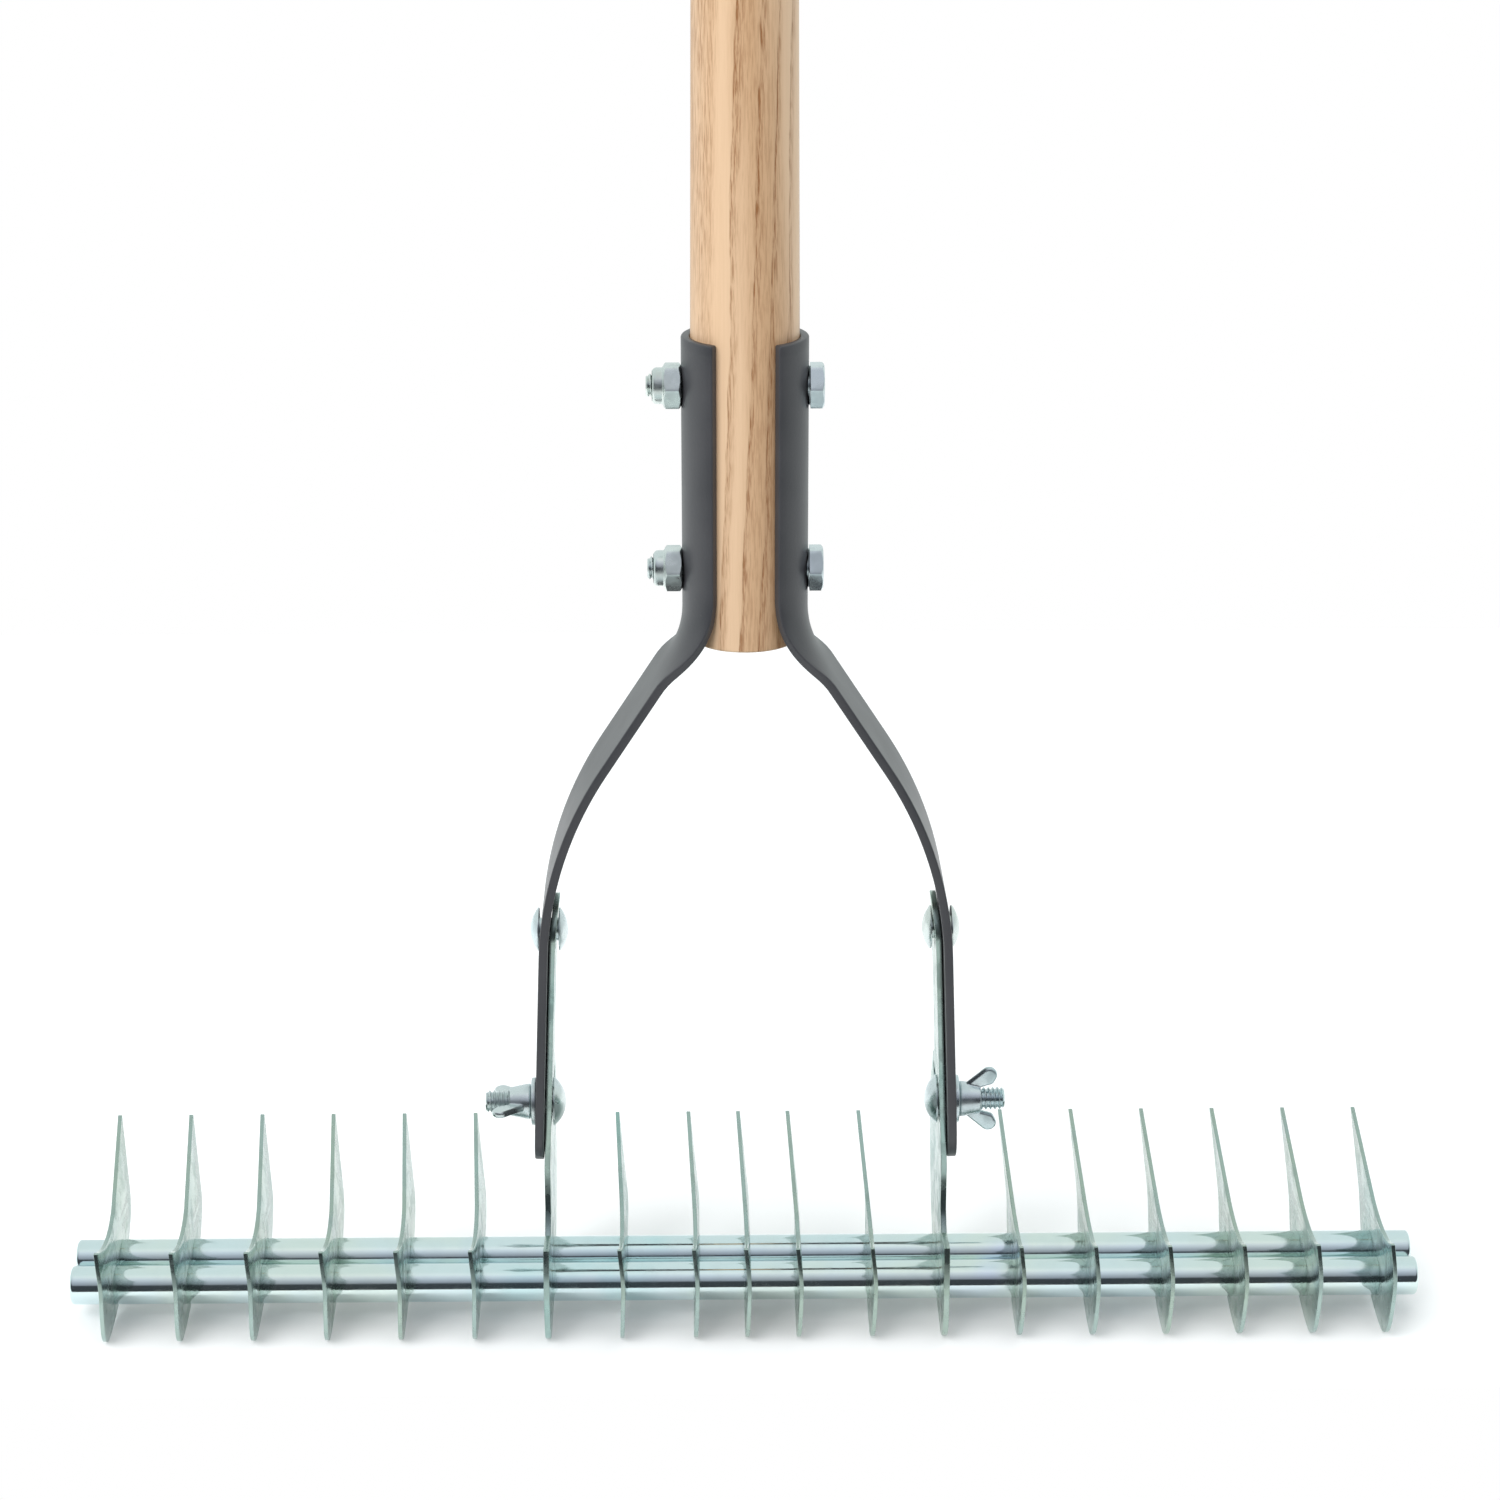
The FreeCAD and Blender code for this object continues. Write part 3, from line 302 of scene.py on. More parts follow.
class Graph:
    """Writes one material's nodes. Textures sit in the piece's own space, in metres."""

    def __init__(self, name):
        self.material = bpy.data.materials.new(name)
        self.material.use_nodes = True
        self.tree = self.material.node_tree
        self.shader = self.tree.nodes["Principled BSDF"]
        self.space = self.add("ShaderNodeTexCoord").outputs["Object"]

    def add(self, kind, **settings):
        node = self.tree.nodes.new(kind)
        for key, value in settings.items():
            setattr(node, key, value)
        return node

    def feed(self, socket, value):
        if isinstance(value, bpy.types.NodeSocket):
            self.tree.links.new(value, socket)
        elif isinstance(value, tuple) and len(value) == 3 and socket.type == "RGBA":
            socket.default_value = (*value, 1)
        else:
            socket.default_value = value

    def math(self, operation, first, second=0.0, clamp=False):
        node = self.add("ShaderNodeMath", operation=operation, use_clamp=clamp)
        self.feed(node.inputs[0], first)
        self.feed(node.inputs[1], second)
        return node.outputs[0]

    def stretched(self, scale, vector=None):
        node = self.add("ShaderNodeMapping")
        self.feed(node.inputs["Vector"], vector or self.space)
        node.inputs["Scale"].default_value = scale
        return node.outputs[0]

    def noise(self, scale, detail=2.0, roughness=0.5, vector=None):
        """Noise with about `scale` blobs per metre, or per unit of a stretched vector."""
        node = self.add("ShaderNodeTexNoise")
        self.feed(node.inputs["Vector"], vector or self.space)
        node.inputs["Scale"].default_value = scale
        node.inputs["Detail"].default_value = detail
        node.inputs["Roughness"].default_value = roughness
        return node.outputs["Fac"]

    def ramp(self, factor, *stops, smooth=False):
        node = self.add("ShaderNodeValToRGB")
        node.color_ramp.interpolation = "EASE" if smooth else "LINEAR"
        elements = node.color_ramp.elements
        while len(elements) < len(stops):
            elements.new(0.5)
        for element, (place, value) in zip(elements, stops):
            element.position = place
            element.color = (*value, 1) if isinstance(value, tuple) else (value, value, value, 1)
        self.feed(node.inputs["Fac"], factor)
        return node.outputs["Color"]

    def mix(self, factor, first, second, blend="MIX"):
        node = self.add("ShaderNodeMix", data_type="RGBA", blend_type=blend)
        self.feed(node.inputs["Factor"], factor)
        self.feed(node.inputs["A"], first)
        self.feed(node.inputs["B"], second)
        return node.outputs["Result"]

    def bump(self, height, depth, normal=None):
        """depth is the height of a full step of the texture, in metres."""
        node = self.add("ShaderNodeBump")
        self.feed(node.inputs["Height"], height)
        node.inputs["Strength"].default_value = 1.0
        node.inputs["Distance"].default_value = depth
        if normal:
            self.feed(node.inputs["Normal"], normal)
        return node.outputs["Normal"]

    def set(self, base_color, roughness, normal=None):
        self.feed(self.shader.inputs["Base Color"], base_color)
        self.feed(self.shader.inputs["Roughness"], roughness)
        if normal:
            self.feed(self.shader.inputs["Normal"], normal)


def zinc(name, silver, roughness, blotches, wave):
    """Bright zinc plate: a mirror with a faint cyan, straw and lavender bloom."""
    graph = Graph(name)
    broad = graph.noise(22.0, 3.0, 0.55)
    bloom = graph.ramp(broad, (0.28, (silver[0] * 0.84, silver[1] * 0.98, silver[2] * 0.98)), (0.46, silver),
                       (0.64, (silver[0] * 1.03, silver[1], silver[2] * 0.93)),
                       (0.80, (silver[0] * 0.96, silver[1] * 0.93, silver[2] * 1.03)), smooth=True)
    patches = graph.noise(160.0, 4.0, 0.6)
    worn = graph.ramp(patches, (0.42, 0.0), (0.68, 1.0), smooth=True)
    colour = graph.mix(graph.math("MULTIPLY", worn, blotches), bloom,
                       (silver[0] * 0.8, silver[1] * 0.81, silver[2] * 0.81))
    grain = graph.noise(1400.0, 2.0, 0.6)
    rough = graph.math("ADD", graph.math("MULTIPLY", worn, roughness * 0.7),
                       graph.math("MULTIPLY", grain, roughness * 0.35))
    rough = graph.math("ADD", rough, roughness * 0.6)
    normal = graph.bump(graph.noise(38.0, 1.0, 0.4), wave)
    normal = graph.bump(grain, 4e-6, normal)
    graph.set(base_color=colour, roughness=rough, normal=normal)
    graph.feed(graph.shader.inputs["Metallic"], 1.0)
    return graph.material


def fork_paint():
    """Satin charcoal paint with a fine orange peel."""
    graph = Graph("fork_paint")
    tone = graph.noise(60.0, 3.0, 0.5)
    colour = graph.ramp(tone, (0.3, (0.040, 0.041, 0.046)), (0.7, (0.054, 0.054, 0.059)))
    dust = graph.ramp(graph.noise(900.0, 3.0, 0.7), (0.62, 0.0), (0.80, 1.0))
    colour = graph.mix(graph.math("MULTIPLY", dust, 0.25), colour, (0.10, 0.10, 0.10))
    peel = graph.noise(1300.0, 1.0, 0.4)
    rough = graph.math("ADD", graph.math("MULTIPLY", tone, 0.14), 0.30)
    graph.set(base_color=colour, roughness=rough, normal=graph.bump(peel, 1.6e-5))
    return graph.material


def ash():
    """Turned ash under clear lacquer: open brown early wood in wavy rows, fine fibres between."""
    graph = Graph("ash")
    apart = graph.add("ShaderNodeSeparateXYZ")
    graph.feed(apart.inputs[0], graph.space)
    across, depth, up = apart.outputs
    slow = graph.noise(1.0, 2.0, 0.5, graph.stretched((45.0, 45.0, 5.0)))
    wavy = graph.noise(1.0, 2.0, 0.6, graph.stretched((260.0, 260.0, 60.0)))
    ring = graph.math("ADD", across, graph.math("MULTIPLY", depth, 0.45))
    ring = graph.math("ADD", ring, graph.math("MULTIPLY", up, -0.035))
    ring = graph.math("ADD", ring, graph.math("MULTIPLY", slow, 0.011))
    ring = graph.math("ADD", ring, graph.math("MULTIPLY", wavy, 0.0014))
    phase = graph.math("FRACT", graph.math("DIVIDE", ring, 0.0058))
    early = graph.ramp(phase, (0.0, 0.0), (0.05, 0.95), (0.20, 0.55), (0.42, 0.05), (1.0, 0.0))
    pores = graph.noise(1.0, 3.0, 0.65, graph.stretched((2300.0, 2300.0, 140.0)))
    open_pores = graph.ramp(pores, (0.44, 0.0), (0.62, 1.0))
    streaks = graph.math("MULTIPLY", early, graph.math("ADD", graph.math("MULTIPLY", open_pores, 0.75), 0.25))
    fibre = graph.noise(1.0, 3.0, 0.6, graph.stretched((1500.0, 1500.0, 35.0)))
    heart = graph.ramp(graph.noise(1.0, 2.0, 0.5, graph.stretched((70.0, 70.0, 4.0))),
                       (0.42, 0.0), (0.66, 1.0), smooth=True)
    pale = graph.mix(heart, (0.80, 0.56, 0.36), (0.62, 0.39, 0.22))
    pale = graph.mix(graph.math("MULTIPLY", fibre, 0.35), pale, (0.56, 0.35, 0.19))
    flecks = graph.math("MULTIPLY", graph.math("MULTIPLY", open_pores, heart), 0.35)
    colour = graph.mix(graph.math("ADD", streaks, flecks, clamp=True), pale, (0.30, 0.13, 0.045))
    grooves = graph.math("MULTIPLY", streaks, -1.0)
    normal = graph.bump(grooves, 6e-5)
    normal = graph.bump(fibre, 1.2e-5, normal)
    graph.set(base_color=colour, roughness=graph.math("ADD", graph.math("MULTIPLY", fibre, 0.2), 0.36),
              normal=normal)
    graph.feed(graph.shader.inputs["Coat Weight"], 0.15)
    graph.feed(graph.shader.inputs["Coat Roughness"], 0.22)
    return graph.material


def nylon():
    graph = Graph("nylon")
    cloudy = graph.noise(500.0, 2.0)
    graph.set(base_color=graph.ramp(cloudy, (0.3, (0.78, 0.78, 0.72)), (0.7, (0.86, 0.86, 0.80))),
              roughness=graph.math("ADD", graph.math("MULTIPLY", cloudy, 0.2), 0.35),
              normal=graph.bump(graph.noise(2500.0), 1e-5))
    return graph.material


materials = {
    "ash": ash(),
    "fork_paint": fork_paint(),
    "zinc_bars": zinc("zinc_bars", (0.68, 0.81, 0.83), 0.12, 0.10, 4e-5),
    "zinc_blades": zinc("zinc_blades", (0.38, 0.49, 0.46), 0.26, 0.20, 5e-5),
    "zinc_fasteners": zinc("zinc_fasteners", (0.66, 0.74, 0.76), 0.30, 0.25, 2e-5),
    "nylon": nylon(),
}


# ---------------------------------------------------------------- handle and bars

def add_handle():
    """Turned handle: bevelled butt, slight taper above the sockets, domed upper end."""
    low, high = box_of("handle")
    butt, grip = (high.x - low.x) / 2, GRIP_RADIUS
    length = high.z - low.z
    taper_low = SOCKET_TOP - low.z
    corners = [(0, 0), (0, butt), (taper_low, butt), (taper_low + TAPER_LENGTH, grip),
               (length, grip), (length, 0)]
    profile = rounded(corners, [0, BUTT_EDGE, TAPER_EASE, TAPER_EASE, CROWN, 0], steps=9)
    profile = [(p.x, max(p.y, 0.02)) for p in profile]
    base = Vector((0, HANDLE_Y, low.z))
    stand_for(make_object("ash_handle", turned(profile, base, Z, X, steps=96)), "handle")


def add_bar(name, node):
    """Round bar, its ends dressed with a small bevel."""
    low, high = box_of(node)
    radius = (high.z - low.z) / 2
    length = high.x - low.x
    corners = [(0, 0), (0, radius), (length, radius), (length, 0)]
    profile = rounded(corners, [0, BAR_EDGE, BAR_EDGE, 0], steps=6)
    profile = [(p.x, max(p.y, 0.02)) for p in profile]
    base = Vector((low.x, (low.y + high.y) / 2, (low.z + high.z) / 2))
    stand_for(make_object(name, turned(profile, base, X, Y, steps=96)), node)


# ---------------------------------------------------------------- blades

def bar_holes():
    """The two holes of a blade, where the bars' boxes are."""
    holes = []
    for node in ("front_bar", "back_bar"):
        low, high = box_of(node)
        middle = (low + high) / 2
        holes.append(circle((middle.y, middle.z), (high.z - low.z) / 2 - 0.01, clockwise=True))
    return holes


def lower_edge(rear, radius):
    """From the front corner down and back: front edge, toe, belly and rear."""
    return (arc(BROW, TOE_FRONT, FRONT_RADIUS, 20) + arc(TOE_FRONT, TOE, TOE_RADIUS, 14)
            + arc(TOE, BELLY, BELLY_RADIUS, 14) + arc(BELLY, rear, radius, 18))


def blade_outline():
    return (arc(POINT_LOW, POINT, POINT_RADIUS, 4) + straight(POINT, NOTCH)
            + arc(NOTCH, BROW_BACK, -HOLLOW_RADIUS, 22) + straight(BROW_BACK, BROW)
            + lower_edge(REAR, REAR_RADIUS) + straight(REAR, POINT_LOW))


def blade_bend(z):
    """How far to +X the middle of a blade's bent sheet is, at height z."""
    crown = (LEAN_ABOVE - LEAN_BELOW) / 2
    centre_x = BEND_X - BLADE_BEND * math.cos(crown)
    centre_z = BEND_Z - BLADE_BEND * math.sin(crown)
    lean = math.asin(max(-1.0, min(1.0, (z - centre_z) / BLADE_BEND)))
    lean = max(-LEAN_BELOW, min(LEAN_ABOVE, lean))
    beyond = z - centre_z - BLADE_BEND * math.sin(lean)
    return centre_x + BLADE_BEND * math.cos(lean) - beyond * math.tan(lean)


def add_blades():
    """Every plain blade is the same pressing: cut, then bent a little above the bars."""
    shape = sheet_metal([blade_outline()] + bar_holes(), BLADE_SHEET, BLADE_EDGE)
    pressing = make_object("pressing", shape)
    work = bmesh.new()
    work.from_mesh(pressing.data)
    levels = [BEND_LOW + (BEND_HIGH - BEND_LOW) * step / (BEND_CUTS - 1) for step in range(BEND_CUTS)]
    for z in levels:
        parts = work.verts[:] + work.edges[:] + work.faces[:]
        bmesh.ops.bisect_plane(work, geom=parts, plane_co=Z * z * MM, plane_no=Z, dist=1e-7)
    for vertex in work.verts:
        vertex.co.x += blade_bend(vertex.co.z / MM) * MM
    work.to_mesh(pressing.data)
    work.free()
    reach = max(blade_bend(z) for z in levels) + BLADE_SHEET / 2
    for node in sorted(name for name in frame["nodes"] if name.startswith("tine_")):
        place = box_of(node)[1].x - reach
        mesh = pressing.data.copy()
        mesh.transform(Matrix.Translation(X * place * MM))
        piece = bpy.data.objects.new(node.replace("tine", "blade"), mesh)
        bpy.context.scene.collection.objects.link(piece)
        stand_for(piece, node)
    bpy.data.objects.remove(pressing)


def slot_place(radius, degrees):
    angle = math.radians(degrees)
    return Vector((HANDLE_Y + radius * math.sin(angle), RIVET_Z - radius * math.cos(angle)))


def slot_loop():
    """The curved slot that the clamp bolt runs in, clockwise."""
    outer, inner = SLOT_RADIUS + SLOT_HALF, SLOT_RADIUS - SLOT_HALF
    front, back = -SLOT_FRONT, SLOT_BACK
    return list(reversed(
        arc(slot_place(outer, front), slot_place(outer, back), outer, 12)
        + arc(slot_place(outer, back), slot_place(inner, back), SLOT_HALF, 8)
        + arc(slot_place(inner, back), slot_place(inner, front), -inner, 12)
        + arc(slot_place(inner, front), slot_place(outer, front), SLOT_HALF, 8)))


def arm_face(z, offset):
    """How far out a face is at height z, offset outwards from the fork arm's inner face."""
    if z < ARM_LOW_Z:
        return ARM_LOW_X + offset
    foot = ARM_LOW_X - (z - ARM_LOW_Z) * math.tan(LEAN)
    if z < SHOULDER_Z:
        return foot + offset
    return foot + offset - (z - SHOULDER_Z) ** 2 / (2 * SHOULDER_RADIUS)


def add_plate(side_name, side):
    """Lower half of a blade, a gusset, and a strap that follows the fork arm."""
    front, back = HANDLE_Y - STRAP_HALF, HANDLE_Y + STRAP_HALF
    top = (HANDLE_Y, RIVET_Z + STRAP_HALF)
    outline = (straight(BROW_BACK, BROW) + lower_edge(PLATE_REAR, PLATE_REAR_RADIUS)
               + straight(PLATE_REAR, GUSSET_LOW) + straight(GUSSET_LOW, GUSSET_BACK)
               + straight(GUSSET_BACK, GUSSET_KNEE) + straight(GUSSET_KNEE, (back, GUSSET_TOP))
               + straight((back, GUSSET_TOP), (back, RIVET_Z))
               + arc((back, RIVET_Z), top, STRAP_HALF, 12) + arc(top, (front, RIVET_Z), STRAP_HALF, 12)
               + straight((front, RIVET_Z), (front, STRAP_ROOT_Z))
               + straight((front, STRAP_ROOT_Z), STRAP_FOOT) + straight(STRAP_FOOT, BROW_BACK))
    pivot = circle((HANDLE_Y, RIVET_Z), BOLT_RADIUS, clockwise=True)
    shape = sheet_metal([outline, pivot, slot_loop()] + bar_holes(), PLATE_SHEET, PLATE_EDGE)
    piece = make_object(side_name + "_plate", shape)
    work = bmesh.new()
    work.from_mesh(piece.data)
    for z in sorted((ARM_LOW_Z, SHOULDER_Z, *PLATE_CUTS)):
        parts = work.verts[:] + work.edges[:] + work.faces[:]
        bmesh.ops.bisect_plane(work, geom=parts, plane_co=Z * z * MM, plane_no=Z, dist=1e-7)
    for vertex in work.verts:
        offset = vertex.co.x / MM * side - PLATE_GAP - PLATE_SHEET / 2
        vertex.co.x = side * arm_face(vertex.co.z / MM, offset) * MM
    work.to_mesh(piece.data)
    work.free()
    stand_for(piece, side_name + "_adjuster_plate")


# ---------------------------------------------------------------- fork arms

def arm_stations():
    """Down the middle of an arm's sheet: (x, z, slope, length so far), from its foot up."""
    half = ARM_SHEET / 2
    x, z, run = ARM_LOW_X + half * math.cos(LEAN), ARM_LOW_Z + half * math.sin(LEAN), 0.0
    places = [(x, z, LEAN, run)]
    shoulder, bend = SHOULDER_RADIUS + half, BEND_RADIUS - half

    def go(length, slope_to, count):
        nonlocal x, z, run
        slope = places[-1][2]
        for step in range(1, count + 1):
            before = slope + (slope_to - slope) * (step - 1) / count
            after = slope + (slope_to - slope) * step / count
            middle = (before + after) / 2
            part = length / count
            x -= part * math.sin(middle)
            z += part * math.cos(middle)
            run += part
            places.append((x, z, after, run))

    end = ARM_WIDTH / 2
    for step in range(1, 9):
        go(end * (math.cos(math.pi / 2 * (step - 1) / 8) - math.cos(math.pi / 2 * step / 8)), LEAN, 1)
    go((SHOULDER_Z - ARM_LOW_Z) / math.cos(LEAN) - end, LEAN, 8)
    go(shoulder * (SPLAY - LEAN), SPLAY, 22)
    high_x = SOCKET_INSIDE + BEND_RADIUS - bend * math.cos(SPLAY)
    splay_run = (x - high_x) / math.sin(SPLAY)
    go(splay_run, SPLAY, 20)
    curl_low = run - CURL_TAIL
    go(bend * SPLAY, 0.0, 14)
    curl_high = run + CURL_LEAD
    go(SOCKET_TOP - z, 0.0, 24)
    return places, curl_low, curl_high


def arm_section(half_width, half_sheet, edge):
    """Points (across, outwards) round the strap's section, with rounded corners."""
    corners = [(-half_width, -half_sheet), (half_width, -half_sheet),
               (half_width, half_sheet), (-half_width, half_sheet)]
    points = rounded(corners, [edge] * 4, closed=True, steps=4)
    per_corner = len(points) // 4
    section = []
    for corner in range(4):
        section += points[corner * per_corner:(corner + 1) * per_corner]
        start, end = points[(corner + 1) * per_corner - 1], points[(corner + 1) * per_corner % len(points)]
        pieces = 20 if corner % 2 == 0 else 2
        section += straight(start, end, pieces)[1:]
    return section


def add_arm(side_name, side):
    """Strap steel: round foot, long bends, and a half socket curled round the handle."""
    places, curl_low, curl_high = arm_stations()
    full = 1 / (SOCKET_INSIDE + ARM_SHEET / 2)
    length = places[-1][3]
    rings = []
    for index, (x, z, slope, run) in enumerate(places):
        end = ARM_WIDTH / 2
        half_width = end if run >= end else max(1.6, math.sqrt(end ** 2 - (end - run) ** 2))
        share = min(1.0, max(0.0, (run - curl_low) / (curl_high - curl_low)))
        curl = full * share * share * (3 - 2 * share)
        tips = [(0.0, 1.0)]
        if index == 0:
            tips = [(0.0, 0.55), (ARM_EDGE * 0.4, 0.85)]
        if index == len(places) - 1:
            tips = [(-ARM_EDGE, 1.0), (-ARM_EDGE * 0.35, 0.86), (0.0, 0.62)]
        for lift, thin in tips:
            shrink = ARM_SHEET / 2 * (1 - thin)
            ring = []
            for across, out in arm_section(half_width - shrink, ARM_SHEET / 2 * thin, ARM_EDGE * thin):
                if curl < 1e-4:
                    y, push = across, out
                else:
                    radius = 1 / curl + out
                    y = radius * math.sin(across * curl)
                    push = radius * math.cos(across * curl) - 1 / curl
                ring.append(Vector((side * (x + push * math.cos(slope) - lift * math.sin(slope)),
                                    HANDLE_Y + y, z + push * math.sin(slope) + lift * math.cos(slope))))
            rings.append(ring)
    stand_for(make_object(side_name + "_strap", skin(rings)), side_name + "_arm")


# ---------------------------------------------------------------- fasteners

def hexagon_at(half):
    """radius_at for a hexagon with slightly softened corners, its flats up and down."""
    power = 60

    def radius_at(angle, along, limit):
        total = sum(max(0.0, math.cos(angle - math.radians(30 + 60 * k))) ** power for k in range(6))
        return min(limit, half / total ** (1 / power))
    return radius_at


def hexagon_profile(low, high, bevel_low, bevel_high):
    """Rings of a hexagon from low to high, its corners turned off at either end."""
    rim, corner = HEX_HALF * 0.96, HEX_HALF * 1.2
    rise = (corner - rim) * math.tan(math.radians(30))
    steps = 8
    profile = [(low, rim if bevel_low else corner)]
    if bevel_low:
        profile += [(low + rise * k / steps, rim + (corner - rim) * k / steps) for k in range(1, steps + 1)]
    if bevel_high:
        profile += [(high - rise * k / steps, rim + (corner - rim) * k / steps) for k in range(steps, 0, -1)]
    profile.append((high, rim if bevel_high else corner))
    return profile


def add_thread(start, end, base, axis, side):
    """A right-hand helical thread from start to end, bevelled at the end."""
    rows, steps = 14, 48
    count = int((end - start) / THREAD_PITCH * rows)
    profile = [(start + (end - start) * k / count, BOLT_RADIUS) for k in range(count + 1)]

    def radius_at(angle, along, limit):
        phase = (along / THREAD_PITCH - angle / math.tau) % 1.0
        groove = min(1.0, max(0.0, (1 - abs(2 * phase - 1)) * 1.3 - 0.15))
        run_in = min(1.0, (along - start) / THREAD_PITCH)
        radius = limit - THREAD_DEPTH * groove * run_in
        return min(radius, BOLT_RADIUS - 0.75 + (end - along) * 0.9)
    return turned(profile, base, axis, side, steps=steps, radius_at=radius_at)


def joined(*shapes):
    points, faces = [], []
    for more, ring in shapes:
        faces += [tuple(index + len(points) for index in face) for face in ring]
        points += more
    return points, faces


def add_socket_bolt(level):
    """Hexagon bolt through both sockets: head on the right, threaded end on the left."""
    node = level + "_socket_bolt"
    low, high = box_of(node)
    centre = (low + high) / 2
    base = Vector((SOCKET_OUTSIDE, centre.y, centre.z))
    head_high = high.x - SOCKET_OUTSIDE
    washer_face = [(0.0, 0.02), (0.0, HEX_HALF * 0.93), (0.35, HEX_HALF * 0.95)]
    head = washer_face + hexagon_profile(0.35, head_high, False, True) + [(head_high, 0.02)]
    end = SOCKET_OUTSIDE - low.x
    thread_start = end - THREAD_PITCH * 9.5
    shank = [(-0.5, 0.02), (-0.5, BOLT_RADIUS), (thread_start, BOLT_RADIUS), (thread_start, 0.02)]
    piece = make_object(level + "_hex_bolt", joined(
        turned(head, base, X, Y, steps=96, radius_at=hexagon_at(HEX_HALF)),
        turned(shank, base, -X, Y, steps=48),
        add_thread(thread_start, end, base, -X, Y)))
    stand_for(piece, node)


def add_lock_nut(level):
    """Hexagon with a rolled collar, open enough to show the nylon ring in it."""
    node = level + "_lock_nut"
    low, high = box_of(node)
    base = Vector((high.x, (low.y + high.y) / 2, (low.z + high.z) / 2))
    top = NUT_HEX + NUT_COLLAR
    bore, mouth, collar = BOLT_RADIUS + 0.1, 3.75, 4.8
    outside = hexagon_profile(0.0, NUT_HEX, True, True)
    corners = [(NUT_HEX, collar + 0.35), (NUT_HEX + 0.35, collar), (top, collar), (top, mouth),
               (top - 0.6, mouth), (top - 0.6, bore)]
    rolled = rounded(corners, [0, 0.3, 1.25, 0.3, 0, 0], steps=6)
    inside = [(top - 3.0, bore), (0.0, bore)]
    profile = outside + [(p.x, p.y) for p in rolled] + inside
    shape = turned(profile, base, -X, Y, closed=True, steps=96, radius_at=hexagon_at(HEX_HALF))
    stand_for(make_object(level + "_nut", shape), node)


def dome(rim, rise, steps=9):
    """Profile points over a dome, from its rim to its crown: (rise, radius)."""
    radius = (rim * rim + rise * rise) / (rise * 2)
    full = math.asin(rim / radius)
    return [(radius * math.cos(full * (1 - k / steps)) - (radius - rise),
             max(0.02, radius * math.sin(full * (1 - k / steps)))) for k in range(steps + 1)]


def add_rivet(side_name, side):
    """Pivot rivet: two pressed heads, each with a small upright rim."""
    node = side_name + "_rivet"
    low, high = box_of(node)
    out = X * side
    near, far = sorted((abs(low.x), abs(high.x)))
    base = out * near + Vector((0, HANDLE_Y, (low.z + high.z) / 2))
    rim, rise, edge = (high.z - low.z) / 2, 2.5, 0.5
    length = far - near
    head = [(rise - a, r) for a, r in reversed(dome(rim - 0.15, rise - edge))]
    inner = [(a - edge, r) for a, r in head]
    inner += [(rise - edge + 0.15, rim), (rise - 0.1, rim), (rise, rim - 0.1)]
    profile = inner + [(rise, BOLT_RADIUS), (length - rise, BOLT_RADIUS)]
    profile += [(length - a, r) for a, r in reversed(inner)]
    stand_for(make_object(side_name + "_pivot_rivet", turned(profile, base, out, Y, steps=72)), node)


def add_clamp_bolt(side_name, side):
    """Carriage bolt: domed head inside, square neck, threaded end outside."""
    node = side_name + "_clamp_bolt"
    low, high = box_of(node)
    out = X * side
    near, far = sorted((abs(low.x), abs(high.x)))
    base = out * near + Vector((0, HANDLE_Y, (low.z + high.z) / 2))
    rim, rise, length = (high.z - low.z) / 2, 3.5, far - near
    head = [(rise - a - 0.5, r) for a, r in reversed(dome(rim - 0.1, rise - 0.5))]
    head += [(rise - 0.42, rim), (rise - 0.1, rim), (rise, rim - 0.12)]
    thread_start = length - 12.4
    shank = [(rise, BOLT_RADIUS), (thread_start, BOLT_RADIUS), (thread_start, 0.02)]
    neck_end = rise + 2.2

    def square(angle, along, limit):
        reach = BOLT_RADIUS / max(abs(math.cos(angle)), abs(math.sin(angle)))
        return min(limit, reach)

    neck = [(rise - 0.5, 0.02), (rise - 0.5, 5.0), (neck_end - 0.9, 5.0), (neck_end, 3.0), (neck_end, 0.02)]
    piece = make_object(side_name + "_carriage_bolt", joined(
        turned(head + shank, base, out, Y, steps=72),
        turned(neck, base, out, Y, steps=64, radius_at=square),
        add_thread(thread_start, length, base, out, Y)))
    stand_for(piece, node)


def add_washer(side_name, side):
    node = side_name + "_washer"
    low, high = box_of(node)
    out = X * side
    near, far = sorted((abs(low.x), abs(high.x)))
    base = out * near + Vector((0, HANDLE_Y, (low.z + high.z) / 2))
    outside, inside, thick = (high.z - low.z) / 2, 3.5, far - near
    corners = [(0, inside), (thick, inside), (thick, outside), (0, outside)]
    profile = [(p.x, p.y) for p in rounded(corners, [0.1, 0.1, 0.3, 0.12], closed=True, steps=3)]
    shape = turned(profile, base, out, Y, closed=True, steps=72)
    stand_for(make_object(side_name + "_flat_washer", shape), node)


def wing_ear(way):
    """One ear in the (along, outwards) plane: flared, with a round end."""
    corners = [(0.9, 2.9), (2.2, 4.9), (8.6, 10.4), (11.2, 7.6), (9.6, 4.6), (5.2, 3.3)]
    points = rounded(corners, [0.0, 1.2, 2.3, 2.2, 1.6, 0.0], closed=True, steps=6)
    points = [Vector((p.x, p.y * way)) for p in points]
    return points if way < 0 else list(reversed(points))


